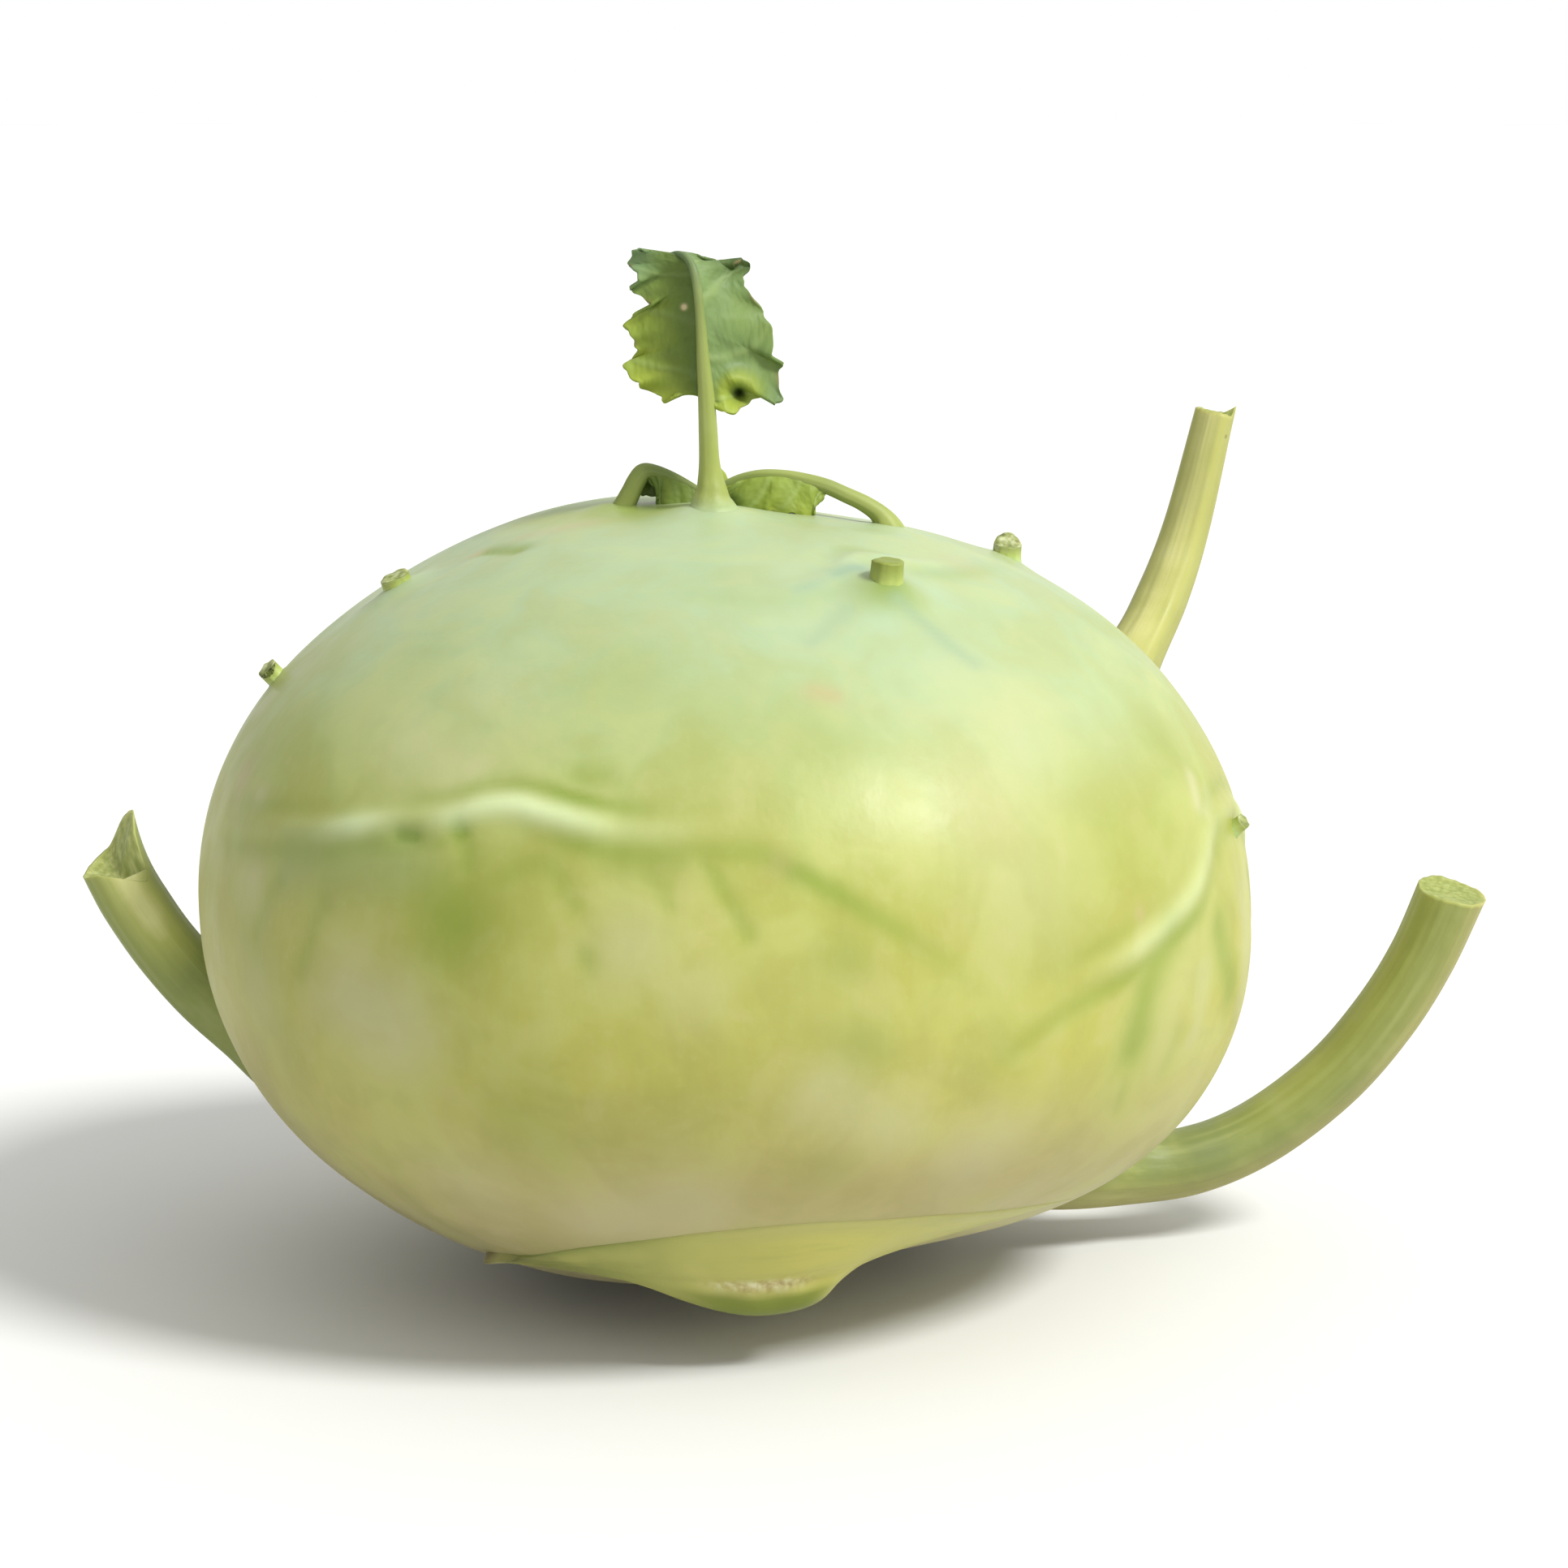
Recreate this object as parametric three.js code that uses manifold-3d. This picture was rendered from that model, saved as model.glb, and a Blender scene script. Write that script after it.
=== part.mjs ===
// A kohlrabi: the pale green swollen stem on its trimmed root, with the leaf stalks that were cut or
// snapped off in picking and three young leaves at the crown.
// Millimetres, +Z up. The origin is the centre of the root cut, which is the flat spot it stands on.
// Azimuths are degrees round +Z from +X; the fuller side of the stem faces -Y.
import * as THREE from "three";
import { mergeVertices } from "three/addons/utils/BufferGeometryUtils.js";
import Module from "manifold-3d";

const wasm = await Module();
wasm.setup();

// ---------------------------------------------------------------- driving dimensions

const BULB = { radius: 47.6, height: 71, widest: 35, squareness: 2.2, lean: -0.032 };
const ROOT = { radius: 9, neck: 3 };
const BULB_MESH = { sides: 72, rings: 30 };
const CLEARANCE = 0.3; // between a leaf stalk and the stem that it grew on
const RIDGE_MESH = { sides: 6, steps: 16 };
const RIB = { width: 0.55, rise: 0.3 }; // a rib's size as shares of its brow's

// Broad swellings and flats: where they are, how far they stand out, and how wide they are.
const SWELLINGS = [
  { azimuth: 350, z: 15, out: 0.9, spread: 14 },
  { azimuth: 120, z: 30, out: 0.9, spread: 20 },
  { azimuth: 255, z: 26, out: 0.6, spread: 18 },
  { azimuth: 311, z: 4, out: -2.4, spread: 13 },
  { azimuth: 188, z: 58, out: -1, spread: 17 },
  { azimuth: 40, z: 70, out: -0.9, spread: 9 },
];

// Leaf scars. Each has a brow, a ridge that runs out from the scar to both sides and droops, and
// ribs that run down the stem below it. A wing's span and droop are measured along the skin.
const SCARS = [
  {
    azimuth: 250, z: 51, rise: 1.5, width: 2.8,
    left: { span: 34, droop: 6.4, power: 0.95 },
    right: { span: 36, droop: 15.5, power: 2.8 },
    ribs: [{ from: -15, to: -21, length: 16 }, { from: 5, to: 8, length: 13 }],
  },
  {
    azimuth: 345, z: 44.2, rise: 1.2, width: 2.8,
    left: { span: 40, droop: 15.8, power: 1.25 },
    right: { span: 26, droop: 10, power: 1.6 },
    ribs: [{ from: -17, to: -22, length: 17 }, { from: 3, to: 4, length: 15 }],
  },
  {
    azimuth: 102, z: 42, rise: 1.6, width: 2.8,
    left: { span: 30, droop: 10, power: 1.5 },
    right: { span: 32, droop: 12, power: 1.8 },
    ribs: [{ from: -9, to: -13, length: 15 }, { from: 8, to: 12, length: 16 }],
  },
  {
    azimuth: 311.7, z: 66.4, rise: 0.7, width: 1.8,
    left: { span: 17, droop: 3, power: 1.2 },
    right: { span: 18, droop: 4, power: 1.4 },
    ribs: [{ from: -4, to: -10, length: 9 }, { from: 3, to: 8, length: 14 }],
  },
];

// Short snapped stalks that are one with the stem. Lean tilts them from the skin's normal to upright.
const STUBS = [
  { azimuth: 311.7, z: 66.9, diameter: 3.4, height: 2.4, lean: 0.5 },
  { azimuth: 12, z: 65.4, diameter: 2.3, height: 2.4, lean: 0.8 },
  { azimuth: 191, z: 64.6, diameter: 2.8, height: 1.1, lean: 0.4 },
  { azimuth: 184, z: 55.6, diameter: 1.8, height: 1.6, lean: 0.1 },
  { azimuth: 208, z: 67.6, diameter: 3.4, height: 0.6, lean: 0.2 },
  { azimuth: 348, z: 43.6, diameter: 1.7, height: 1.4, lean: 0.2 },
  { azimuth: 103, z: 43.6, diameter: 4.2, height: 2.2, lean: 0.35 },
  { azimuth: 76, z: 62, diameter: 3.2, height: 2.4, lean: 0.5 },
  { azimuth: 128, z: 61.5, diameter: 2.8, height: 2.2, lean: 0.5 },
];

// Leaf stalks. Each starts inside the stem, and widths go with the points of its route. A snapped
// end leaves a strip standing, torn long, at an angle round the stalk.
const STALKS = {
  stalk_right: {
    route: [[17, 2.5, 13.5], [28, 5, 9.2], [37.6, 8, 7.2], [43.8, 9, 7.8], [49.9, 10, 10.4],
      [56.1, 10, 15.4], [60.6, 9, 21.3], [63.6, 7, 27.3], [66, 3, 34.4]],
    widths: [15, 11.5, 7.8, 7.1, 6.9, 6.8, 6.8, 6.8, 7],
    torn: 0, strip: 0,
  },
  stalk_left: {
    route: [[-31, 1, 16], [-39.4, 3, 18.2], [-45, 5.6, 21.2], [-49.5, 7.4, 24.4], [-53.3, 9, 28.2],
      [-56.4, 10.4, 32.6], [-58, 11, 35.6]],
    widths: [14, 10, 7.8, 7.2, 7, 7, 6.9],
    torn: 4.6, strip: 105,
  },
  stalk_back: {
    route: [[26, 16, 39], [34, 24, 47], [38.7, 30, 53], [41.3, 34, 58], [43.4, 37, 64.1],
      [46.5, 38, 75.3]],
    widths: [14, 9, 5.9, 5.4, 5, 4.8],
    torn: 1.1, strip: 225,
  },
};
const STALK_SECTION = { flatness: 0.86, channel: 0.24 }; // thickness by width, and the channel's depth
const STALK_MESH = { sides: 12, steps: 20 };

// The broken leaf base that clasps the front of the stem near the root: its upper edge as azimuth and
// height on the skin, and its lower rim, which stands out into a lip.
const CLASP = {
  crease: [[227, 7.8], [240, 9.4], [252, 12], [266, 14.2], [280, 15], [294, 14], [308, 12.4], [320, 11.4],
    [329, 11]],
  rim: [[-21.3, -23.6, 7.2], [-17.8, -28.2, 8.3], [-9.1, -33, 8], [-3.5, -33.8, 6.3], [2.3, -33.2, 5],
    [7.4, -32, 5.9], [9.6, -29.6, 7.8], [13.9, -27.4, 9], [20.3, -24, 10], [27, -18, 10.3]],
  edge: 1.2, depth: 3, // its upper edge's height over the skin, and how deep it sits before it is cut
};

// Young leaves. The blade starts at bladeFrom along the route, and its halves fold and curl to the
// inner side, which is the side that faces the crown. Two values in a list are the base's and the tip's.
const LEAVES = {
  leaf_center: {
    side: [1, 0, 0],
    route: [[-1.9, -7.8, 67.6], [-1.8, -7.7, 70.6], [-1.9, -7.5, 75], [-2.1, -7.5, 80], [-2.4, -7.5, 84.4],
      [-2.7, -7.1, 88.2], [-3.1, -5.9, 91.3], [-3.5, -3.2, 93], [-3.9, 0.4, 92.4], [-4.1, 3, 90.2]],
    widths: [8.5, 4.6, 2.1, 1.9, 1.5, 1.2, 1, 0.9, 0.8, 0.8],
    bladeFrom: 0.35,
    left: { width: 7.7, taper: 9, fold: [14, 2], curl: [26, 8] },
    right: { width: 8.4, taper: 1.7, fold: [20, 6], curl: [30, 10] },
    wave: 0.7, waves: 3.2, teeth: 7, bite: 0.17,
  },
  leaf_left: {
    side: [0, -1, 0],
    route: [[-10.2, -3.2, 67.8], [-9.9, -3.1, 69.8], [-9.3, -3, 71.8], [-8.2, -2.8, 73.3], [-6.6, -2.6, 73.6],
      [-5, -2.5, 72.9], [-4, -2.5, 71.8]],
    widths: [4.6, 2.9, 2.1, 1.7, 1.4, 1.1, 0.9],
    bladeFrom: 0.5,
    left: { width: 2.4, taper: 3, fold: [40, 40], curl: [16, 10] },
    right: { width: 3.3, taper: 3, fold: [62, 50], curl: [16, 10] },
    wave: 0.2, waves: 2.4, teeth: 4, bite: 0.16,
  },
  leaf_right: {
    side: [0, 1, 0],
    route: [[12.7, -3.2, 66.8], [12.2, -3.1, 69], [11, -3, 71], [9, -2.8, 72.4], [6.8, -2.6, 73],
      [3.8, -2.4, 73.2], [1.1, -2.4, 72.8], [-0.3, -2.4, 71.8]],
    widths: [4.8, 2.9, 1.9, 1.7, 1.6, 1.4, 1.1, 0.9],
    bladeFrom: 0.47,
    left: { width: 3.5, taper: 3, fold: [62, 50], curl: [14, 10] },
    right: { width: 2.5, taper: 3, fold: [42, 40], curl: [14, 10] },
    wave: 0.2, waves: 2.6, teeth: 5, bite: 0.16,
  },
};
const BLADE_MESH = { across: 8, thickness: 0.7, rowsPerTooth: 3 };
const LEAF_STEM_MESH = { sides: 8, steps: 20 };
const BUD = { x: -1.6, y: 3.6, scales: 4, radius: 1.15, height: 3.4, spread: 0.85 };

const COLOURS = {
  skin: 0xc5d196, stalk: 0xa9b468, clasp: 0xc9c878, leaf: 0x7d9a4c, bud: 0x9cb45c,
};

// ---------------------------------------------------------------- the stem's surface

const rad = THREE.MathUtils.degToRad;
const ease = (t) => t * t * (3 - 2 * t);

// Radius of the stem at a height, before its swellings: a squarish oval above a short root neck.
function profile(z) {
  const { radius, height, widest, squareness } = BULB;
  const reach = z > widest ? (z - widest) / (height - widest) : (widest - z) / widest;
  const swell = radius * Math.sqrt(Math.max(0, 1 - reach ** squareness));
  return z < ROOT.neck ? ROOT.radius + (swell - ROOT.radius) * ease(z / ROOT.neck) : swell;
}

// Height for a polar angle, -90 at the root to 90 at the crown, and back.
function heightAt(polar) {
  const s = Math.sin(rad(polar));
  return BULB.widest + s * (s > 0 ? BULB.height - BULB.widest : BULB.widest);
}
function polarOf(z) {
  const half = z > BULB.widest ? BULB.height - BULB.widest : BULB.widest;
  return THREE.MathUtils.radToDeg(Math.asin((z - BULB.widest) / half));
}

// Moves a polar angle up or down by a length measured along the skin.
function climb(polar, length) {
  const parts = 12;
  for (let i = 0; i < parts; i++) {
    const a = heightAt(polar - 0.1), b = heightAt(polar + 0.1);
    polar += (length / parts) * (0.2 / Math.hypot(b - a, profile(b) - profile(a)));
  }
  return polar;
}

// A point of the plain oval at an azimuth and height.
function oval(azimuth, z) {
  const r = profile(z), a = rad(azimuth);
  return new THREE.Vector3(r * Math.cos(a) + BULB.lean * z, r * Math.sin(a), z);
}

const swells = SWELLINGS.map((s) => ({ ...s, centre: oval(s.azimuth, s.z) }));
const swellAt = (point) => swells.reduce(
  (sum, s) => sum + s.out * Math.exp(-point.distanceToSquared(s.centre) / (2 * s.spread ** 2)), 0);

// A point of the skin and its outward normal, raised by lift.
function skin(azimuth, polar, lift = 0) {
  const point = oval(azimuth, heightAt(polar));
  const below = heightAt(polar - 0.5), above = heightAt(polar + 0.5);
  const slope = new THREE.Vector2(above - below, profile(below) - profile(above)).normalize();
  const a = rad(azimuth);
  const normal = new THREE.Vector3(slope.x * Math.cos(a), slope.x * Math.sin(a), slope.y);
  return { point: point.addScaledVector(normal, swellAt(point) + lift), normal };
}

// ---------------------------------------------------------------- solids

// A closed BufferGeometry as a manifold-3d solid, facing out whichever way it was wound.
function solid(geometry) {
  const bare = new THREE.BufferGeometry().setIndex(geometry.index);
  bare.setAttribute("position", geometry.getAttribute("position"));
  const merged = mergeVertices(bare, 1e-4);
  const whole = [];
  for (let i = 0; i < merged.index.count; i += 3) {
    const [a, b, c] = [0, 1, 2].map((k) => merged.index.getX(i + k));
    if (a !== b && b !== c && c !== a) whole.push(a, b, c);
  }
  const mesh = (triangles) => new wasm.Manifold(new wasm.Mesh({
    numProp: 3,
    vertProperties: merged.getAttribute("position").array,
    triVerts: new Uint32Array(triangles),
  }));
  const made = mesh(whole);
  return made.volume() > 0 ? made : mesh(whole.reverse());
}

// Joins solids one after another.
const join = (solids) => solids.reduce((all, next) => all.add(next));

function meshOf(name, made, colour, roughness) {
  const biggest = made.decompose().sort((a, b) => b.volume() - a.volume())[0];
  const { vertProperties, triVerts, numProp } = biggest.getMesh();
  const geometry = new THREE.BufferGeometry();
  geometry.setAttribute("position", new THREE.BufferAttribute(new Float32Array(vertProperties), numProp));
  geometry.setIndex(new THREE.BufferAttribute(triVerts, 1));
  geometry.computeVertexNormals();
  const mesh = new THREE.Mesh(geometry, new THREE.MeshStandardMaterial({ color: colour, roughness }));
  mesh.name = name;
  return mesh;
}

// The swollen stem without its ridges: a lathe of the profile, then pushed out by its swellings.
function stemBody(gap) {
  const points = [new THREE.Vector2(0, 0)];
  for (let i = 0; i <= BULB_MESH.rings; i++) {
    const z = heightAt(-90 + (180 * i) / BULB_MESH.rings);
    points.push(new THREE.Vector2(i === BULB_MESH.rings ? 0 : profile(z), z));
  }
  const geometry = new THREE.LatheGeometry(points, BULB_MESH.sides).rotateX(Math.PI / 2);
  const position = geometry.getAttribute("position");
  const at = new THREE.Vector3();
  for (let i = 0; i < position.count; i++) {
    at.fromBufferAttribute(position, i);
    const azimuth = THREE.MathUtils.radToDeg(Math.atan2(at.y, at.x));
    if (at.z < 1e-6) at.z -= gap;
    else at.copy(skin(azimuth, polarOf(Math.min(at.z, BULB.height)), gap).point);
    position.setXYZ(i, at.x, at.y, at.z);
  }
  return solid(geometry);
}

// A tube bent along a curve: a cylinder whose points are placed by ring(t, angle, spoke), where t runs
// from 0 to 1 along it, and spoke is 1 on its wall and 0 at the middle of its ends. Angles are rounded
// to whole sides, so that its seam closes.
function tube(sides, steps, ring) {
  const geometry = new THREE.CylinderGeometry(1, 1, 1, sides, steps);
  const position = geometry.getAttribute("position");
  const at = new THREE.Vector3();
  for (let i = 0; i < position.count; i++) {
    at.fromBufferAttribute(position, i);
    const spoke = Math.hypot(at.x, at.z);
    const turn = spoke > 0.5 ? Math.atan2(at.z, at.x) / (2 * Math.PI) : 0;
    const angle = (Math.round(turn * sides) / sides) * 2 * Math.PI;
    const placed = ring(at.y + 0.5, angle, spoke > 0.5 ? 1 : 0);
    position.setXYZ(i, placed.x, placed.y, placed.z);
  }
  return solid(geometry);
}

// A ridge on the skin: a slim tube that follows path(t), sunk so that only its back stands out.
function ridge(path, width, rise, gap) {
  return tube(RIDGE_MESH.sides, RIDGE_MESH.steps, (t, angle, spoke) => {
    const [azimuth, polar] = path(t);
    const { point, normal } = skin(azimuth, polar);
    const ahead = path(Math.min(t + 0.02, 1)), behind = path(Math.max(t - 0.02, 0));
    const along = skin(...ahead).point.sub(skin(...behind).point).normalize();
    const across = new THREE.Vector3().crossVectors(along, normal);
    const size = Math.sin(Math.PI * (0.06 + 0.88 * t)) ** 0.6; // tapers off at both ends
    const half = (width * size + gap) * spoke, high = (rise * size + gap) * spoke;
    const sink = Math.sin(angle) > 0 ? 0 : 2; // its foot reaches down into the stem
    return point
      .addScaledVector(across, half * Math.cos(angle))
      .addScaledVector(normal, high * Math.sin(angle) * (1 + sink) - 0.8 * (1 - size));
  });
}

// The ridges of a leaf scar: its brow in one piece, and its ribs.
function scarRidges(scar, gap) {
  const radius = profile(scar.z);
  const start = polarOf(scar.z);
  const place = (u, v) => [scar.azimuth + THREE.MathUtils.radToDeg(u / radius), climb(start, v)];
  const wing = (u) => (u < 0 ? scar.left : scar.right);
  const brow = (u) => -wing(u).droop * (Math.abs(u) / wing(u).span) ** wing(u).power;
  const browPath = (t) => {
    const u = -scar.left.span + t * (scar.left.span + scar.right.span);
    return place(u, brow(u));
  };
  const ribPath = ({ from, to, length }) => (t) =>
    place(from + (to - from) * t ** 1.5, brow(from) - 0.5 - length * t);
  return [
    ridge(browPath, scar.width, scar.rise, gap),
    ...scar.ribs.map((rib) => ridge(ribPath(rib), scar.width * RIB.width, scar.rise * RIB.rise, gap)),
  ];
}

// A short snapped stalk with a wide foot, sunk into the stem.
function stub({ azimuth, z, diameter, height, lean }, gap) {
  const { point, normal } = skin(azimuth, polarOf(z));
  const axis = normal.clone().lerp(new THREE.Vector3(0, 0, 1), lean).normalize();
  const side = new THREE.Vector3(-point.y, point.x, 0).cross(axis).normalize();
  const front = new THREE.Vector3().crossVectors(axis, side);
  const depth = 2.5; // how far it reaches into the stem
  return tube(8, 4, (t, angle, spoke) => {
    const up = -depth + t * (depth + height);
    const foot = 1 + 0.9 * Math.exp(-((up + 0.6) ** 2) / 1.6);
    const half = (diameter / 2) * foot * spoke + gap * spoke;
    const torn = t === 1 ? 0.25 * height * Math.sin(2 * angle + azimuth) * spoke : 0;
    return point.clone().addScaledVector(axis, up + torn)
      .addScaledVector(side, half * Math.cos(angle)).addScaledVector(front, half * Math.sin(angle));
  });
}

function stem(gap) {
  const ridges = SCARS.flatMap((scar) => scarRidges(scar, gap));
  const stubs = STUBS.map((s) => stub(s, gap));
  return join([stemBody(gap), ...ridges, ...stubs]);
}

// Widths go with the points of a route, and are eased between them.
function widthAt(widths, t) {
  const place = Math.min(t, 1) * (widths.length - 1);
  const i = Math.min(Math.floor(place), widths.length - 2);
  return widths[i] + (widths[i + 1] - widths[i]) * (place - i);
}

// A leaf stalk: flattened and faintly channelled on the side that faces the crown, cut or torn at its end.
function stalk({ route, widths, torn, strip }) {
  const curve = new THREE.CatmullRomCurve3(route.map((p) => new THREE.Vector3(...p)));
  const out = new THREE.Vector3(...route[2]).setZ(0).normalize();
  const side = new THREE.Vector3(-out.y, out.x, 0);
  return tube(STALK_MESH.sides, STALK_MESH.steps, (t, angle, spoke) => {
    const along = curve.getTangent(t);
    const across = side.clone().addScaledVector(along, -side.dot(along)).normalize();
    const inner = new THREE.Vector3().crossVectors(along, across);
    const half = widthAt(widths, t) / 2;
    const channel = STALK_SECTION.channel * Math.max(0, Math.sin(angle)) ** 6;
    const x = half * Math.cos(angle) * spoke;
    const y = half * STALK_SECTION.flatness * Math.sin(angle) * (1 - channel) * spoke;
    const end = t < 1 ? 0 : torn * Math.max(0, Math.cos(angle - rad(strip))) ** 2 * spoke;
    return curve.getPoint(t).addScaledVector(across, x).addScaledVector(inner, y).addScaledVector(along, end);
  });
}

// The clasping leaf base: a wedge that starts thin on the skin and runs down to its rim.
function clasp() {
  const crease = new THREE.CatmullRomCurve3(
    CLASP.crease.map(([azimuth, z]) => skin(azimuth, polarOf(z), CLASP.edge).point));
  const rim = new THREE.CatmullRomCurve3(CLASP.rim.map((p) => new THREE.Vector3(...p)));
  const geometry = new THREE.BoxGeometry(1, 1, 1, 24, 4, 2);
  const position = geometry.getAttribute("position");
  for (let i = 0; i < position.count; i++) {
    const [s, down, outer] = [position.getX(i) + 0.5, 0.5 - position.getY(i), position.getZ(i) + 0.5];
    const face = crease.getPoint(s).lerp(rim.getPoint(s), down);
    const azimuth = THREE.MathUtils.radToDeg(Math.atan2(face.y, face.x - BULB.lean * face.z));
    const inside = skin(azimuth, polarOf(face.z + down), -CLASP.depth).point;
    face.lerp(inside, 1 - outer);
    position.setXYZ(i, face.x, face.y, face.z);
  }
  return solid(geometry);
}

// A blade of even thickness: a grid placed by surface(u, v), with the same triangles on both faces.
function blade(rows, surface) {
  const grid = new THREE.PlaneGeometry(2, 1, BLADE_MESH.across, rows);
  const position = grid.getAttribute("position");
  const count = position.count, faces = [...grid.index.array];
  const top = [], bottom = [];
  for (let i = 0; i < count; i++) {
    const u = position.getX(i), v = position.getY(i) + 0.5;
    const du = surface(Math.min(u + 0.02, 1), v).sub(surface(Math.max(u - 0.02, -1), v));
    const dv = surface(u, Math.min(v + 0.01, 1)).sub(surface(u, Math.max(v - 0.01, 0)));
    const normal = du.cross(dv).normalize().multiplyScalar(BLADE_MESH.thickness / 2);
    top.push(...surface(u, v).add(normal));
    bottom.push(...surface(u, v).sub(normal));
  }
  const wide = BLADE_MESH.across + 1, rim = [];
  for (let i = 0; i < wide - 1; i++) rim.push(i);
  for (let j = 0; j < rows; j++) rim.push(j * wide + wide - 1);
  for (let i = wide - 1; i > 0; i--) rim.push(rows * wide + i);
  for (let j = rows; j > 0; j--) rim.push(j * wide);
  const under = [];
  for (let i = 0; i < faces.length; i += 3) {
    under.push(faces[i] + count, faces[i + 2] + count, faces[i + 1] + count);
  }
  const wall = rim.flatMap((a, i) => {
    const b = rim[(i + 1) % rim.length];
    return [a, b, a + count, b, b + count, a + count];
  });
  const geometry = new THREE.BufferGeometry().setIndex([...faces, ...under, ...wall]);
  geometry.setAttribute("position", new THREE.BufferAttribute(new Float32Array([...top, ...bottom]), 3));
  return solid(geometry);
}

// A young leaf: its stalk and midrib in one taper, and a toothed blade folded towards the crown.
function leaf(spec) {
  const curve = new THREE.CatmullRomCurve3(spec.route.map((p) => new THREE.Vector3(...p)));
  const fixedSide = new THREE.Vector3(...spec.side);
  const frame = (t) => {
    const along = curve.getTangent(t);
    const side = fixedSide.clone().addScaledVector(along, -fixedSide.dot(along)).normalize();
    return { at: curve.getPoint(t), along, side, inner: new THREE.Vector3().crossVectors(along, side) };
  };
  const rows = spec.teeth * BLADE_MESH.rowsPerTooth;
  const toothAt = (v) => [0.1, 1, 0.5][Math.round(v * rows) % BLADE_MESH.rowsPerTooth];
  const surface = (u, v) => {
    const { at, along, side, inner } = frame(spec.bladeFrom + (1 - spec.bladeFrom) * v);
    const half = u < 0 ? spec.left : spec.right;
    const outline = Math.min(1, 0.55 + 6 * v) * Math.sqrt(Math.max(0.012, 1 - v ** half.taper));
    const reach = Math.abs(u) * half.width * outline * (1 - spec.bite * u ** 4 * toothAt(v));
    const [fold, curl] = [half.fold, half.curl].map(([base, tip]) => base + (tip - base) * v);
    const bend = rad(fold + curl * Math.abs(u) * 0.5);
    const ripple = spec.wave * u * u * Math.sin(2 * Math.PI * spec.waves * v + (u < 0 ? 0.7 : 2.4));
    const droop = -0.12 * reach * Math.exp(-v * 8);
    return at.addScaledVector(side, Math.sign(u) * reach * Math.cos(bend))
      .addScaledVector(inner, reach * Math.sin(bend) + ripple).addScaledVector(along, droop);
  };
  const midrib = tube(LEAF_STEM_MESH.sides, LEAF_STEM_MESH.steps, (t, angle, spoke) => {
    const { at, side, inner } = frame(t);
    const half = (widthAt(spec.widths, t) / 2) * spoke;
    return at.addScaledVector(side, half * Math.cos(angle)).addScaledVector(inner, half * Math.sin(angle));
  });
  return midrib.add(blade(rows, surface));
}

// The growing tip: small pointed scales that lean together.
function bud() {
  const ground = heightAt(90) - 0.8;
  const outline = new THREE.SplineCurve([[0, 0], [0.9, 0.12], [1, 0.4], [0.55, 0.8], [0, 1]]
    .map(([r, h]) => new THREE.Vector2(r * BUD.radius, h * BUD.height))).getPoints(8);
  outline[0].x = 0;
  outline[outline.length - 1].x = 0;
  const scales = Array.from({ length: BUD.scales }, (_, i) => {
    const turn = rad(137.5 * i), out = BUD.spread * (i ? 1 : 0.2);
    const scale = new THREE.LatheGeometry(outline, 10).rotateX(Math.PI / 2).scale(1, 0.8, 1 - 0.12 * i);
    scale.rotateY(0.16 * (i ? 1 : 0)).rotateZ(turn + Math.PI);
    return solid(scale.translate(BUD.x + out * Math.cos(turn), BUD.y + out * Math.sin(turn), ground));
  });
  return join(scales);
}

// ---------------------------------------------------------------- the kohlrabi

const kohlrabi = new THREE.Group();
const cutter = stem(CLEARANCE);
kohlrabi.add(meshOf("bulb", stem(0), COLOURS.skin, 0.45));
for (const [name, spec] of Object.entries(STALKS)) {
  kohlrabi.add(meshOf(name, stalk(spec).subtract(cutter), COLOURS.stalk, 0.5));
}
kohlrabi.add(meshOf("leaf_base_front", clasp().subtract(cutter), COLOURS.clasp, 0.5));
for (const [name, spec] of Object.entries(LEAVES)) {
  kohlrabi.add(meshOf(name, leaf(spec).subtract(cutter), COLOURS.leaf, 0.6));
}
kohlrabi.add(meshOf("crown_bud", bud().subtract(cutter), COLOURS.bud, 0.6));

export default kohlrabi;
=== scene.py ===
# A kohlrabi: a pale green swollen stem on its trimmed root, with three leaf stalks that were cut or
# snapped in picking, a broken leaf base that clasps its foot, and three young leaves at the crown.
import math

import bmesh
import bpy
import numpy as np
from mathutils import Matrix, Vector, noise


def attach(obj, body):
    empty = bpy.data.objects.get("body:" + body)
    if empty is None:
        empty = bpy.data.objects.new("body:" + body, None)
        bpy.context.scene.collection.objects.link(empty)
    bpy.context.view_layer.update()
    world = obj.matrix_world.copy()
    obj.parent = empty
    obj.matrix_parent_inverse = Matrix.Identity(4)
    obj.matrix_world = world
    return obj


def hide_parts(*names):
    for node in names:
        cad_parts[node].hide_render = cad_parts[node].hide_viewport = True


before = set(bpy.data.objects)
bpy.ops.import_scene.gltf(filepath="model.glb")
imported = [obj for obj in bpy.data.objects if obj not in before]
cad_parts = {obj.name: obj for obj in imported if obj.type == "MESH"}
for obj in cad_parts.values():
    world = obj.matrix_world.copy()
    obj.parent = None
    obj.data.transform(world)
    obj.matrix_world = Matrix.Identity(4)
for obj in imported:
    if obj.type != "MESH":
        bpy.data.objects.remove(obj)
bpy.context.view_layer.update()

# Shapes are worked out in millimetres, with the root cut's centre at the origin, and written in metres.
# Azimuths are degrees round +Z from +X. The camera looks at the -Y side.
mm = 0.001


def ease(t):
    t = np.clip(t, 0, 1)
    return t * t * (3 - 2 * t)


def bump(distance, width):  # 1 at nought, fading out over the width
    return np.exp(-(distance / width) ** 2)


def turnFrom(angle, middle):  # degrees, from -180 to 180
    return (angle - middle + 180) % 360 - 180


def unit(v):
    return v / np.linalg.norm(v, axis=-1, keepdims=True)


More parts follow.
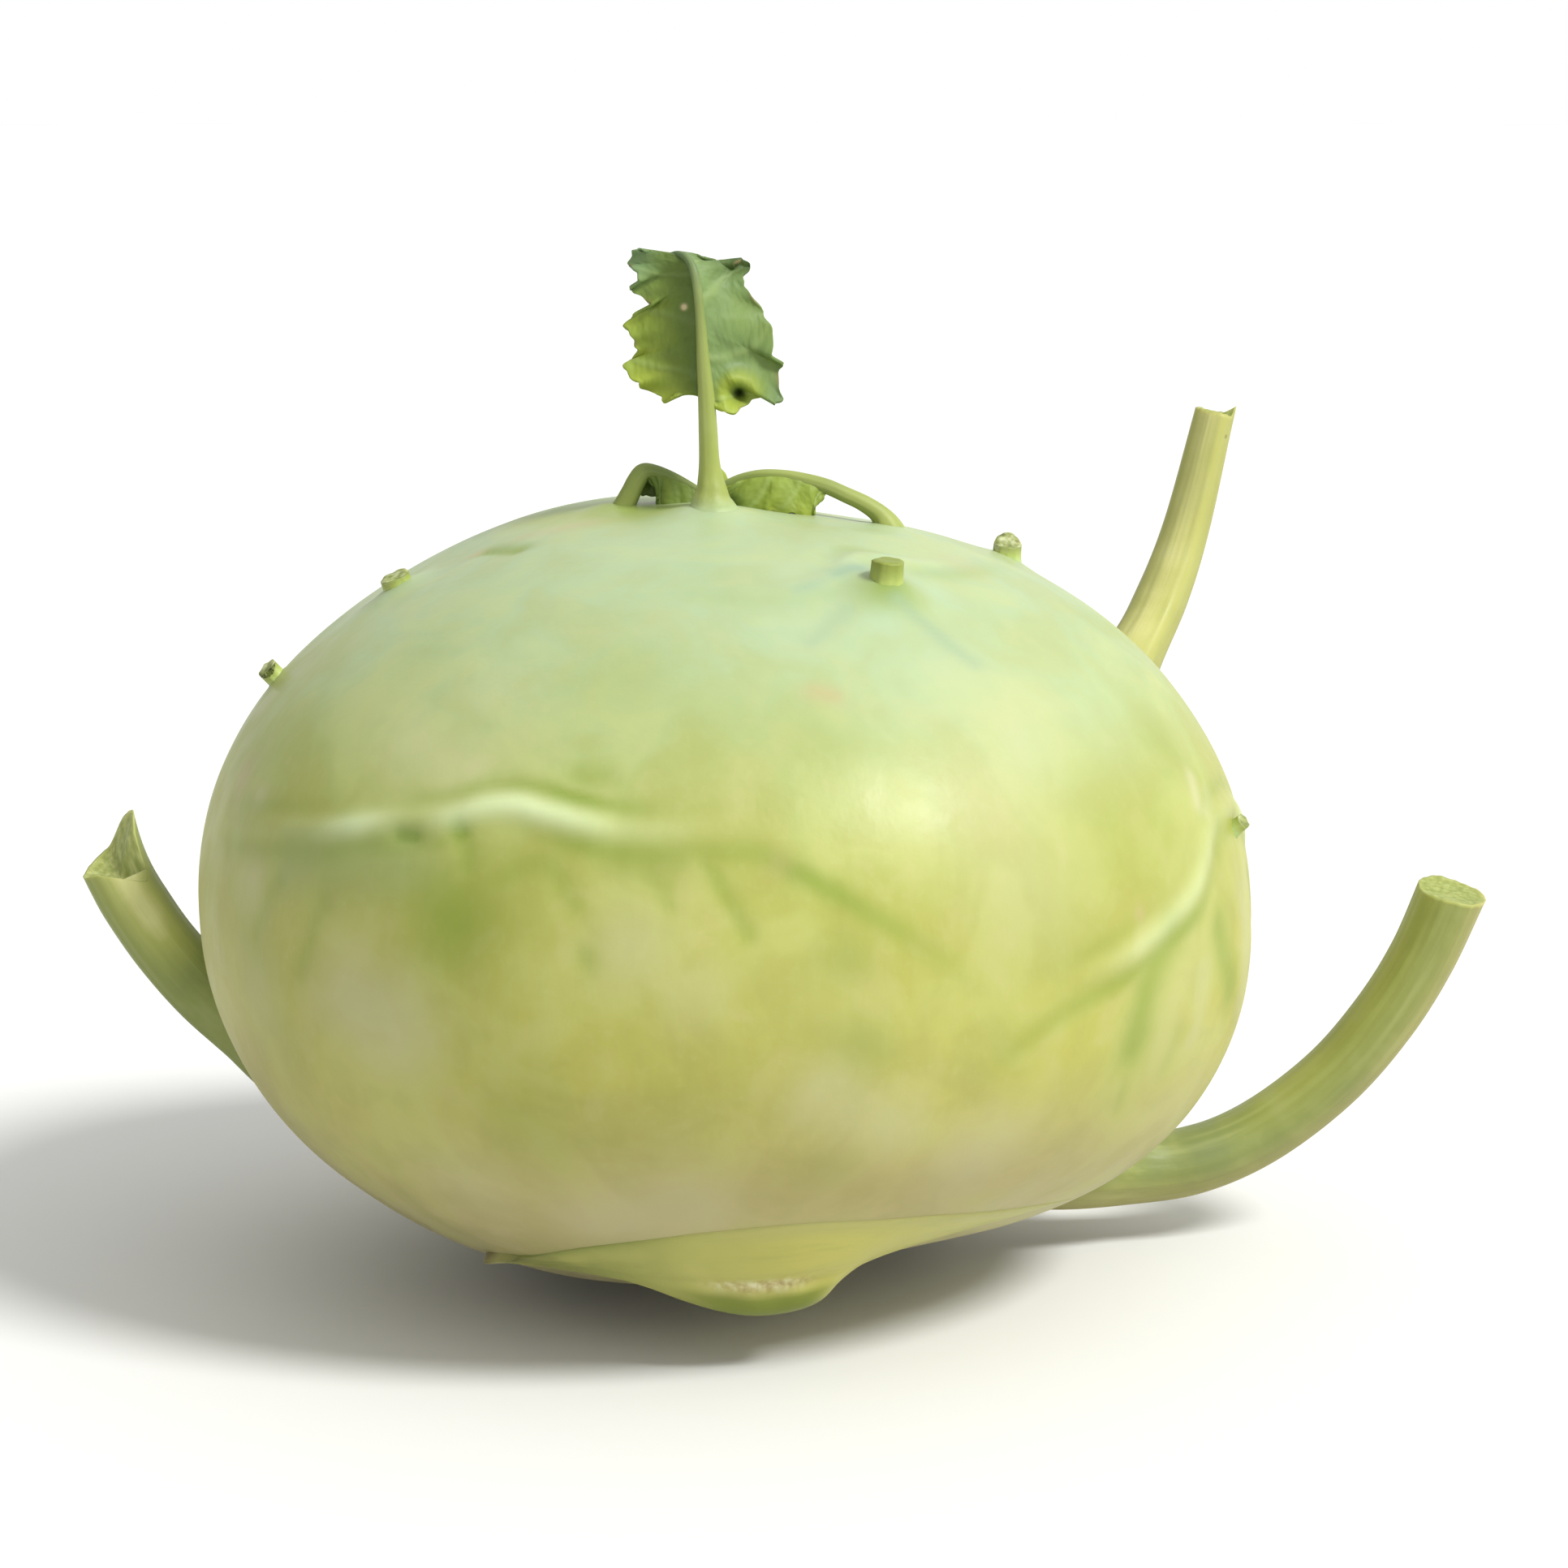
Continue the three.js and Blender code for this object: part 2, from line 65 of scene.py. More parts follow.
def follow(points, t):  # a smooth curve through the points, at t from 0 to 1
    points = np.array(points, float)
    spans = len(points) - 1
    place = np.clip(t, 0, 1) * spans
    i = np.minimum(place.astype(int), spans - 1)
    f = (place - i)[..., None]
    longer = np.vstack([2 * points[:1] - points[1:2], points, 2 * points[-1:] - points[-2:-1]])
    a, b, c, d = (longer[i + k] for k in range(4))
    return 0.5 * (2 * b + (c - a) * f + (2 * a - 5 * b + 4 * c - d) * f**2 + (3 * b - a - 3 * c + d) * f**3)


def lengthOf(route, steps):
    return np.sum(np.linalg.norm(np.diff(follow(route, np.linspace(0, 1, steps)), axis=0), axis=1))


def routeFrame(route, side, t):  # where a route runs, and its along, across and inner ways there
    along = unit(follow(route, t + 0.004) - follow(route, t - 0.004))
    across = unit(side - (along @ side)[:, None] * along)
    return follow(route, t), along, across, np.cross(along, across)


def wander(points, size, seed):  # soft noise from -1 to 1, with lumps of about this size
    return np.array([noise.noise(Vector(p) / size + Vector((seed, 2 * seed, 0))) for p in points])


# Meshes

def tube(sides, steps, capRings=()):  # unit tube up Z, with rings at these shares of the radius on its ends
    bm = bmesh.new()
    bmesh.ops.create_cone(bm, cap_ends=True, segments=sides, radius1=1, radius2=1, depth=1)
    long = [e for e in bm.edges if abs(e.verts[0].co.z - e.verts[1].co.z) > 0.5]
    bmesh.ops.subdivide_edges(bm, edges=long, cuts=steps - 1)
    caps = [f for f in bm.faces if len(f.verts) == sides]
    last = 1
    for share in capRings:
        bmesh.ops.inset_individual(bm, faces=caps, thickness=(last - share) * math.cos(math.pi / sides))
        last = share
    bmesh.ops.poke(bm, faces=caps)
    return bm


def block(cuts):  # unit cube, cut this many times along X, Y and Z
    bm = bmesh.new()
    bmesh.ops.create_cube(bm, size=1)
    for axis, count in enumerate(cuts):
        along = [e for e in bm.edges if abs(e.verts[0].co[axis] - e.verts[1].co[axis]) > 0.5]
        bmesh.ops.subdivide_edges(bm, edges=along, cuts=count, use_grid_fill=True)
    return bm


def sheetOf(across, along):  # grid from -1 to 1 in X and 0 to 1 in Y
    bm = bmesh.new()
    bmesh.ops.create_grid(bm, x_segments=across, y_segments=along, size=1)
    bmesh.ops.translate(bm, vec=(0, 1, 0), verts=bm.verts)
    bmesh.ops.scale(bm, vec=(1, 0.5, 1), verts=bm.verts)
    return bm


def unitPoints(bm):
    return np.array([v.co for v in bm.verts])


def tubePlaces(bm):  # how far along a tube its points are, their share of the radius, and their angle
    unitAt = unitPoints(bm)
    return unitAt[:, 2] + 0.5, np.hypot(unitAt[:, 0], unitAt[:, 1]), np.arctan2(unitAt[:, 1], unitAt[:, 0])


def addTo(whole, bm):  # moves one bmesh into another
    mesh = bpy.data.meshes.new("share")
    bm.to_mesh(mesh)
    bm.free()
    whole.from_mesh(mesh)
    bpy.data.meshes.remove(mesh)


def newObject(name, data):
    made = bpy.data.objects.new(name, data)
    bpy.context.scene.collection.objects.link(made)
    return made


def newPiece(name, bm, points, marks, material, node):
    mesh = bpy.data.meshes.new(name)
    for v, point in zip(bm.verts, points * mm):
        v.co = point
    for mark, values in marks.items():  # numbers or places that the material reads
        kind = bm.verts.layers.float if values.ndim == 1 else bm.verts.layers.float_vector
        layer = kind.new(mark)
        for v, value in zip(bm.verts, values):
            v[layer] = value
    bm.to_mesh(mesh)
    bm.free()
    mesh.materials.append(material)
    mesh.shade_smooth()
    piece = newObject(name, mesh)
    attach(piece, "root")
    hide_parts(node)
    return piece


# Materials

def linear(colour):
    parts = [int(colour[i:i + 2], 16) / 255 for i in (1, 3, 5)]
    return [p / 12.92 if p <= 0.04045 else ((p + 0.055) / 1.055) ** 2.4 for p in parts] + [1]


def perMetre(size):  # a texture's scale for features of this size in millimetres
    return 1000 / size


def newMaterial(name):
    made = bpy.data.materials.new(name)
    made.use_nodes = True
    return made, made.node_tree, made.node_tree.nodes["Principled BSDF"]


def setInputs(tree, node, inputs):  # an input is a value, a node for its first output, or (node, "output")
    for key, value in inputs.items():
        socket = node.inputs[key] if isinstance(key, int) else [
            s for s in node.inputs if s.name == key and s.enabled][0]
        if isinstance(value, bpy.types.Node):
            tree.links.new([s for s in value.outputs if s.enabled][0], socket)
        elif isinstance(value, tuple) and isinstance(value[0], bpy.types.Node):
            tree.links.new(value[0].outputs[value[1]], socket)
        else:
            socket.default_value = value


def addNode(tree, kind, inputs, stops=(), **settings):
    made = tree.nodes.new("ShaderNode" + kind)
    for key, value in settings.items():
        setattr(made, key, value)
    setInputs(tree, made, inputs)
    for i, (at, colour) in enumerate(stops):
        stop = made.color_ramp.elements[i] if i < 2 else made.color_ramp.elements.new(at)
        stop.position = at
        stop.color = linear(colour)
    return made


# Lays colours over one another. A layer is its mask, where that starts and is full, how strong it gets, and
# its colour. A mask is a node or the name of a mark on the mesh, and a colour is a hex value or a node.
def layered(tree, under, layers):
    for mask, start, full, strongest, colour in layers:
        if isinstance(mask, str):
            mask = addNode(tree, "Attribute", {}, attribute_name=mask)
        if isinstance(colour, str):
            colour = linear(colour)
        amount = addNode(tree, "MapRange", {
            "Value": mask, "From Min": start, "From Max": full, "To Max": strongest})
        under = addNode(tree, "Mix", {"Factor": amount, "A": under, "B": colour}, data_type="RGBA")
    return under


# The stem's surface

bulb = {
    "radius": 47.6, "height": 71, "widest": 35, "squareness": 2.2, "lean": -0.032,
    "rootRadius": 9, "rootNeck": 3, "rootCap": 9,  # the cap is the root cut's share of the mesh, in degrees
    "cuts": 119,
    "swellings": [  # azimuth, height, how far out, spread
        (350, 15, 0.9, 14), (120, 30, 0.9, 20), (255, 26, 0.6, 18), (311, 4, -2.4, 13), (188, 58, -1, 17),
        (187, 66, -0.7, 5), (40, 70, -0.9, 9), (160, 69.8, 0.7, 9),
    ],
    "lumps": [(16, 0.16), (7, 0.05)],  # size and height of the skin's slight unevenness
    "mounds": [  # strokes where the skin runs up into a stalk, and the rise as their strength
        (305, 65.2, 3.2, 1.7), (11, 65, 2.2, 0.4), (190, 64.4, 3, 0.9), (184, 55.7, 1.6, 0.4),
        (103, 43.4, 4, 1), (76, 61.8, 3.2, 0.9), (128, 61.3, 3, 0.9), (273.4, 70.5, 3.8, 1),
        (200.3, 70.35, 2, 0.5), (348.8, 68.9, 2, 0.5), (34.5, 48, 7, 1.6),
    ],
    "settled": 2,  # nothing lifts the flat spot that it stands on, up to this height
    "cutEdge": 0.15,  # the root cut's edge fades over this share of it
}


def profile(z):  # radius of the plain oval at a height
    top = bulb["height"] - bulb["widest"]
    reach = np.where(z > bulb["widest"], (z - bulb["widest"]) / top, 1 - z / bulb["widest"])
    swell = bulb["radius"] * np.sqrt(np.maximum(0, 1 - np.abs(reach) ** bulb["squareness"]))
    neck = bulb["rootRadius"] + (swell - bulb["rootRadius"]) * ease(z / bulb["rootNeck"])
    return np.where(z < bulb["rootNeck"], neck, swell)


def heightAt(polar):  # polar angles run from -90 at the root to 90 at the crown
    s = np.sin(np.radians(polar))
    return bulb["widest"] + s * np.where(s > 0, bulb["height"] - bulb["widest"], bulb["widest"])


def polarOf(z):
    half = np.where(z > bulb["widest"], bulb["height"] - bulb["widest"], bulb["widest"])
    return np.degrees(np.arcsin(np.clip((z - bulb["widest"]) / half, -1, 1)))


def oval(azimuth, z):
    r, a = profile(z), np.radians(azimuth)
    return np.stack([r * np.cos(a) + bulb["lean"] * z, r * np.sin(a), z + 0 * a], -1)


def outwards(azimuth, polar):
    a = np.radians(azimuth)
    below, above = heightAt(np.maximum(polar - 0.5, -90)), heightAt(np.minimum(polar + 0.5, 90))
    tall, wide = above - below, profile(below) - profile(above)
    size = np.hypot(tall, wide)
    return np.stack([tall / size * np.cos(a), tall / size * np.sin(a), wide / size + 0 * a], -1)


def swellAt(points):
    total = np.zeros(points.shape[:-1])
    for azimuth, z, out, spread in bulb["swellings"]:
        away = ((points - oval(np.array(azimuth), np.array(z))) ** 2).sum(-1)
        total += out * np.exp(-away / (2 * spread**2))
    return total


def skin(azimuth, z, lift=0):  # a point of the smooth skin, raised by lift
    azimuth, z = np.asarray(azimuth, float), np.asarray(z, float)
    point = oval(azimuth, z)
    return point + outwards(azimuth, polarOf(z)) * (swellAt(point) + lift)[..., None]


polarSteps = np.linspace(-90, 90, 1801)
arcSteps = np.hypot(np.diff(profile(heightAt(polarSteps))), np.diff(heightAt(polarSteps)))
arcTable = np.concatenate([[0], np.cumsum(arcSteps)])


def arcOf(polar):  # length along the skin up from the root
    return np.interp(polar, polarSteps, arcTable)


# Leaf scars. Each left a brow, a raised line with a pale waxy crest over a green line: its azimuth, its
# height, the crest's rise, how pale that is, and how green it is just under it and just above it. The
# crest's paleness is partly pale wax and partly a painted highlight, and the green lines are partly
# painted shade in the crease above the crest and under its ledge.
brows = [
    [(199, 44.9, 0, 0, 0.1, 0), (207.3, 45.3, 0.1, 0.05, 0.35, 0.25), (217.4, 46.2, 0.14, 0.1, 0.4, 0.3),
     (223.1, 46.7, 0.16, 0.25, 0.4, 0.15), (229.4, 47.6, 0.26, 0.7, 0.45, 0),
     (233.8, 48.3, 0.2, 0.3, 0.5, 0), (238, 48.7, 0.2, 0.1, 0.4, 0.35), (241.9, 49.2, 0.3, 0.5, 0.3, 0.45),
     (245.5, 50.1, 0.36, 0.65, 0.1, 0.45), (249.2, 50.4, 0.38, 0.75, 0, 0.6),
     (253.1, 49.9, 0.36, 0.7, 0.3, 0.85), (256, 49.5, 0.35, 0.6, 0.7, 0.95),
     (260.4, 49, 0.18, 0.25, 0.6, 0.6), (264.9, 48.9, 0.1, 0.15, 0.5, 0.25),
     (269.7, 49.1, 0.06, 0.05, 0.5, 0.05), (275.6, 48.9, 0.04, 0, 0.6, 0), (278.8, 47.8, 0.02, 0, 0.95, 0),
     (281.2, 46.8, 0, 0, 0.85, 0), (286.7, 44.1, 0, 0, 0.6, 0), (291, 41.8, 0, 0, 0.4, 0),
     (297.5, 38, 0, 0, 0, 0)],
    [(296, 29.6, 0, 0, 0, 0), (301.9, 32.6, 0.05, 0, 0.3, 0), (307.3, 34.6, 0.1, 0, 0.5, 0.1),
     (311.4, 35.5, 0.14, 0.05, 0.6, 0.35), (315.1, 36.2, 0.18, 0.2, 0.7, 0.3),
     (318.4, 36.9, 0.18, 0.35, 0.75, 0.15), (322.1, 37.8, 0.2, 0.34, 0.8, 0),
     (325.6, 38.9, 0.2, 0.34, 0.85, 0), (330, 40.3, 0.2, 0.34, 0.7, 0), (333, 42, 0.2, 0.3, 0.4, 0),
     (336.5, 43.9, 0.2, 0.25, 0.3, 0.2), (341, 45, 0.2, 0.15, 0.4, 0.4), (348, 45, 0.3, 0.15, 0.5, 0.4),
     (355, 42.7, 0.3, 0.5, 0.5, 0.1), (363, 39.2, 0.22, 0.4, 0.6, 0.2), (370, 34.2, 0.1, 0.1, 0.5, 0.4),
     (376, 29.2, 0, 0, 0, 0)],
    [(70, 31, 0, 0, 0, 0), (76, 35, 0.1, 0, 0.5, 0.3), (83, 38.4, 0.16, 0.2, 0.5, 0.1),
     (91, 41.2, 0.26, 0.5, 0.4, 0), (98, 43.4, 0.34, 0.4, 0.2, 0.2), (105, 44.1, 0.32, 0.3, 0.4, 0.4),
     (113, 43.8, 0.2, 0.2, 0.4, 0.1), (124, 42.6, 0.1, 0.1, 0.3, 0), (136, 41, 0.05, 0, 0.2, 0),
     (146, 40, 0, 0, 0, 0)],
    [(263, 66.7, 0, 0, 0, 0), (272, 66.4, 0.08, 0, 0.15, 0), (283, 66, 0.1, 0, 0.1, 0),
     (292, 66.3, 0.18, 0.1, 0.1, 0), (300, 67, 0.3, 0.2, 0.15, 0), (308, 67.6, 0.4, 0.1, 0, 0.3),
     (316, 67.2, 0.35, 0.1, 0.1, 0.1), (324, 66.7, 0.2, 0.1, 0.3, 0), (336, 66.5, 0.12, 0, 0.35, 0),
     (354, 66.3, 0, 0, 0, 0)],
]
browShape = {
    "above": 0.85, "below": 1.3,  # half widths of the crest
    "ledge": 0.4, "ledgeAbove": 7, "ledgeBelow": 2.2,  # the ledge it stands on, and how it fades up and down
    "under": 1.9, "underWidth": 1.1, "hollow": 0.15,  # the line beneath it, its depth a share of the rise
    "over": 1.9, "overWidth": 0.8, "crease": 0.15,  # the same for the line above it
    "paleAndHighlightWidth": 1.05, "farOff": 12, "stepAhead": 0.01, "leastTurn": 0.05,
}


def browRelief(azimuth, polar):
    lift, paleAndHighlight, green = (np.zeros(len(azimuth)) for _ in range(3))
    shape = browShape
    for brow in brows:
        table = np.array(brow)
        last = len(table) - 1
        middle = (table[0, 0] + table[-1, 0]) / 2
        turn = turnFrom(azimuth, middle) + middle
        step = np.clip(np.interp(turn, table[:, 0], np.arange(len(table))), 0, last) / last
        ahead = np.clip(step + shape["stepAhead"], 0, 1)
        height, rise, palenessAndHighlight, under, over = follow(table[:, 1:], step).T
        line = arcOf(polarOf(height))
        climb = arcOf(polarOf(follow(table[:, 1:], ahead)[:, 0])) - line
        apart = (follow(table[:, :1], ahead) - follow(table[:, :1], step))[:, 0]
        slope = climb / np.maximum(np.radians(apart) * profile(height), shape["leastTurn"])
        inside = (turn > table[0, 0]) & (turn < table[-1, 0])
        off = np.where(inside, (arcOf(polar) - line) / np.hypot(1, slope), shape["farOff"])
        rise = np.maximum(rise, 0) * inside
        width = np.where(off > 0, shape["above"], shape["below"])
        fade = np.where(off > 0, shape["ledgeAbove"], shape["ledgeBelow"])
        lineUnder = bump(off + shape["under"], shape["underWidth"])
        lineOver = bump(off - shape["over"], shape["overWidth"])
        lift += rise * (bump(off, width) + shape["ledge"] * np.exp(-np.abs(off) / fade)
                        - shape["crease"] * lineOver - shape["hollow"] * lineUnder)
        # the pale crest is partly a painted highlight, and the green lines beside it are partly painted
        # shade
        paleAndHighlight = np.maximum(paleAndHighlight, palenessAndHighlight * inside * bump(off, shape["paleAndHighlightWidth"]))
        green = np.maximum(green, (under * lineUnder + over * lineOver) * inside)
    return lift, np.clip(paleAndHighlight, 0, 1), np.clip(green, 0, 1)


# Marks on the skin. A stroke is the azimuth and height of each of its points, then its width and strength.
skinMarks = {
    "greenShade": [  # where the wax is thin over vein ends and ribs, and painted shade in hollows, beside the brow crests and on the crown's top left
        (243.4, 40.9, 4.4, 0.85), (235.8, 47.4, 237.4, 47.3, 1, 1.2), (243.1, 48.3, 1.1, 1.2),
        (243.6, 47.6, 244.4, 46.6, 244.5, 45.3, 1.1, 0.6),
        (243.5, 42.7, 247.1, 44.1, 250.4, 45.5, 253, 46.3, 254.8, 45.1, 256.2, 43.1, 1.1, 0.4),
        (269.5, 46.9, 270.4, 45.5, 271.5, 44, 273.5, 41.1, 0.9, 0.55), (257.7, 39, 1.3, 0.5),
        (263.9, 46.4, 264.7, 44.9, 265.7, 43.3, 0.9, 0.35), (256, 53, 258.5, 52.6, 1.3, 0.5),
        (218.4, 41.9, 216.5, 39.9, 214.1, 36.8, 1.1, 0.35),
        (226.6, 40.9, 224.9, 38.3, 222.8, 34.6, 1.2, 0.4), (249, 25, 252, 23, 3.5, 0.3),
        (323.8, 36.8, 321, 34.7, 319.2, 32.5, 318.5, 30.2, 317.9, 28, 2.2, 0.8),
        (317.9, 27.7, 317.7, 25.5, 318.3, 22.4, 0.8, 0.35), (335.4, 36, 336.6, 33.5, 339.5, 30.2, 2.2, 0.7),
        (340, 44, 337.8, 42.2, 1.5, 0.45), (326, 28, 325, 25, 1.1, 0.25), (304, 65, 2.6, 0.95),
        # the second stroke here is the painted shadow of the middle leaf on the crown's top left
        (200, 67.6, 207, 67.8, 213.5, 68, 1, 1), (172, 69.6, 190, 70.4, 225, 70.6, 3, 0.8),
        (93, 37, 90, 31, 1.4, 0.35), (106, 38, 107, 32, 109, 27, 1.6, 0.5),
        (352, 38, 354, 32, 355, 27, 1.2, 0.6), (184, 54.6, 1.5, 0.4), (128, 61, 129, 59, 1.8, 0.4),
        (76, 61.5, 76, 60, 2, 0.45), (150, 38, 5, 0.35), (58, 26, 4, 0.3),
    ],
    "oliveShade": [  # where it is thinner and the flesh shows through, and painted shade under the first brow's left wing, down the left flank and on the crown's top left
        (307, 42, 318, 46, 326, 44, 8, 0.45), (330, 33, 4, 0.3), (309, 51, 5, 0.25),
        # the first stroke here is painted shade down the left flank
        (207, 46, 212, 38, 215, 30, 5, 0.45), (224, 61, 5, 0.25),
        # the first stroke here is painted shade under the left wing of the first brow
        (220, 44, 228, 44.6, 234, 45, 241, 45.6, 3, 0.55), (261.4, 46.6, 266.5, 46.5, 1.8, 0.8),
        (283, 38.9, 2.6, 0.8), (284.1, 31.6, 3, 0.8), (282.1, 55.1, 5, 0.6), (334.6, 51.5, 4, 0.9),
        (260.1, 60.5, 5, 0.5), (270, 57.5, 5, 0.35), (250, 45.8, 4, 0.4), (281.6, 20.8, 2.6, 0.5),
        (267.9, 24.3, 3.5, 0.25), (213, 52, 5, 0.3), (200, 40, 4, 0.35), (324, 27, 316, 24, 6, 0.35),
        (300, 31, 4, 0.3), (40, 52, 6, 0.5), (120, 52, 7, 0.5), (160, 30, 5, 0.5), (75, 24, 4, 0.5),
        # painted shadow of the middle leaf on the crown's top left
        (180, 69.2, 200, 70, 228, 70.2, 3.4, 0.9),
    ],
    "greyBloom": [  # where it is dull and a little worn
        (303, 44, 303, 50, 312, 56, 7, 0.4), (326, 36, 322, 30, 5, 0.25), (214, 31, 4, 0.3),
        (276, 36, 296, 30, 5, 0.1), (235.7, 32.1, 231, 33.2, 5, 0.8), (255.3, 15.1, 266, 17, 4.5, 0.8),
        (298.7, 19.9, 5, 0.7), (280.5, 27.5, 288, 24, 3.5, 0.6), (232.4, 54, 240, 53, 3.6, 0.5),
        (242.6, 52.9, 2, 0.6), (240, 17, 5, 0.5), (212.5, 41, 3, 0.6), (209.4, 47.9, 1.4, 0.6),
        (310, 13, 4, 0.3), (241, 58.5, 4, 0.3), (262, 40, 4, 0.5), (268, 36, 3.5, 0.4),
        (337.4, 48.8, 336.2, 46.4, 1, 0.8), (340.2, 46.9, 337.4, 45.9, 0.9, 0.6),
        (331, 33, 330, 27, 1.6, 0.4), (345, 36, 345, 28, 2, 0.4), (140, 20, 6, 0.6), (50, 36, 6, 0.5),
        (110, 16, 6, 0.5), (180, 33, 6, 0.5), (18, 25, 6, 0.5),
    ],
    "veinBlue": [  # veins under the skin, lines that run down from a stalk, and painted shade under the first brow's left wing
        # the first stroke is painted shade under the left wing of the first brow
        (220, 43.6, 228, 44.2, 236, 44.8, 3.4, 0.22), (302.4, 66.8, 1.1, 0.9),
        (304.5, 66.8, 300.5, 66.8, 297.6, 66.6, 1, 0.9), (297.6, 66.6, 291, 66.1, 288, 65.9, 0.8, 0.5),
        (304.2, 64.4, 306.6, 62.8, 308.1, 61.3, 309.6, 60.2, 0.9, 0.5),
        (294.5, 64.5, 288.7, 63.3, 286.3, 62.5, 0.9, 0.4), (318, 66.2, 330.7, 66.2, 345, 66.2, 0.8, 0.3),
        (126, 59, 125, 55, 0.9, 0.4), (78, 59, 79, 55, 0.9, 0.4), (130, 59, 133, 55, 0.9, 0.4),
    ],
    "waxBloom": [  # where it is whole
        (299.9, 63.4, 2.6, 0.9), (288.8, 67.2, 2.4, 0.6), (284.1, 62.8, 4.5, 0.5), (300, 61, 8, 0.5),
        (315.9, 64.9, 2.2, 0.5), (324, 55.6, 6, 0.4), (272, 63.5, 6, 0.3), (262, 68.5, 7, 0.4),
        (212, 60, 4, 0.3), (310, 54, 4, 0.3), (90, 63, 8, 0.6), (135, 60, 7, 0.5), (30, 62, 6, 0.5),
        (165, 56, 5, 0.4),
    ],
    "tanRub": [  # old rubs and corky spots
        (284, 59, 286.5, 58.7, 1.1, 0.7), (204.5, 68.6, 210.6, 69.1, 219, 69.7, 1.2, 0.5),
        (196.5, 67.4, 0.9, 0.9), (240, 14, 275, 18, 310, 17, 7, 0.45), (201.5, 49, 1.8, 0.6),
        (318.4, 39.7, 0.7, 0.6), (254.9, 13, 4, 0.3), (206, 24, 5, 0.3), (277, 46.2, 1.2, 0.35),
        (60, 44, 1.6, 0.6), (147, 47, 1.4, 0.5), (118, 26, 2, 0.5), (334.5, 66.4, 2.5, 0.3),
    ],
}
markShape = {
    "shift": 0.4, "shiftSize": 3,  # how far an edge strays, and over what size
    "sink": 0.22,  # how deep a green mark lies
    "steps": 6,  # from each point of a stroke to the next
}


def strokesAt(points, strokes):
    value = np.zeros(len(points))
    for *places, width, strength in strokes:
        azimuths, heights = places[::2], places[1::2]
        last, ends = len(azimuths) - 1, range(len(azimuths))
        steps = np.linspace(0, 1, markShape["steps"] * last + 1) * last
        line = skin(np.interp(steps, ends, azimuths), np.interp(steps, ends, heights))
        away = np.min([((points - centre) ** 2).sum(-1) for centre in line], axis=0)
        value = np.maximum(value, strength * bump(np.sqrt(away), width))
    return value


# Kohlrabi skin: a thin green epidermis under a bloom of wax. The wax pales it bluish at the shoulders,
# spreads its shine into broad soft patches, and lets light go a little way in.
def skinMaterial():
    made, tree, shader = newMaterial("waxBloomedSkin")
    at = (addNode(tree, "TexCoord", {}), "Object")
    tallAt = addNode(tree, "Mapping", {"Vector": at, "Scale": (1, 1, 0.25)})
    patch, cloud, streak, grain = (
        addNode(tree, "TexNoise", {
            "Vector": way, "Scale": perMetre(size), "Detail": detail, "Distortion": bend})
        for way, size, detail, bend in (
            (at, 11, 3, 0.6), (at, 5, 4, 0.3), (tallAt, 2.6, 3, 0), (at, 0.9, 3, 0)))
    height = addNode(tree, "SeparateXYZ", {"Vector": at})
    # The colour runs with height, from beige low down to bluish green at the crown. The beige is partly
    # painted shade and painted warm light bounced up from below.
    rise = addNode(tree, "MapRange", {"Value": (height, "Z"), "From Max": bulb["height"] * mm})
    shifted = addNode(tree, "Math", {0: patch, 1: 0.2, 2: rise}, operation="MULTIPLY_ADD")
    body = addNode(tree, "ValToRGB", {"Fac": shifted}, [
        (0.14, "#b4a988"), (0.32, "#aea76b"), (0.5, "#a6a451"), (0.68, "#9e9f4e"), (0.84, "#99a35c"),
        (1, "#95a77c")])
    # The root cut shows pale wood with a ring of fibre bundles.
    fibres = addNode(tree, "TexVoronoi", {"Vector": at, "Scale": perMetre(0.7)})
    wood = addNode(tree, "ValToRGB", {"Fac": fibres}, [(0.1, "#8a7850"), (0.6, "#c9bd94")])
    colour = layered(tree, body, [
        (patch, 0.5, 0.4, 0.4, "#969448"), (patch, 0.5, 0.6, 0.4, "#b0b269"),
        (cloud, 0.47, 0.36, 0.25, "#949549"), (cloud, 0.54, 0.66, 0.3, "#b0ab70"),
        (streak, 0.5, 0.75, 0.2, "#a9ae68"),
        (grain, 0.56, 0.75, 0.12, "#b4b578"), (rise, 0.66, 0.9, 0.45, "#9aab84"),
        # The olive, green and vein-blue marks are partly painted shade, and the pale crest is partly a
        # painted highlight.
        ("oliveShade", 0, 1, 0.75, "#8a934a"), ("greyBloom", 0, 1, 0.75, "#b3b28a"),
        ("waxBloom", 0, 1, 0.7, "#9eb192"), ("greenShade", 0, 1, 0.85, "#778a30"),
        ("paleCrest", 0, 1, 0.9, "#c8d6aa"), ("veinBlue", 0, 1, 0.8, "#7b947f"),
        ("tanRub", 0, 1, 0.7, "#aa9670"), ("rootCut", 0, 1, 1, wood)])
    rough = addNode(tree, "MapRange", {
        "Value": cloud, "From Min": 0.35, "From Max": 0.7, "To Min": 0.36, "To Max": 0.5})
    pores = addNode(tree, "Bump", {"Height": grain, "Strength": 0.25, "Distance": 0.00006})
    ripple = addNode(tree, "Bump", {"Height": streak, "Strength": 0.5, "Distance": 0.00012, "Normal": pores})
    setInputs(tree, shader, {
        "IOR": 1.4, "Specular IOR Level": 0.32, "Subsurface Weight": 0.12, "Subsurface Scale": 0.003,
        "Subsurface Radius": (1, 0.8, 0.35), "Base Color": colour, "Roughness": rough, "Normal": ripple})
    return made


skinFinish = skinMaterial()


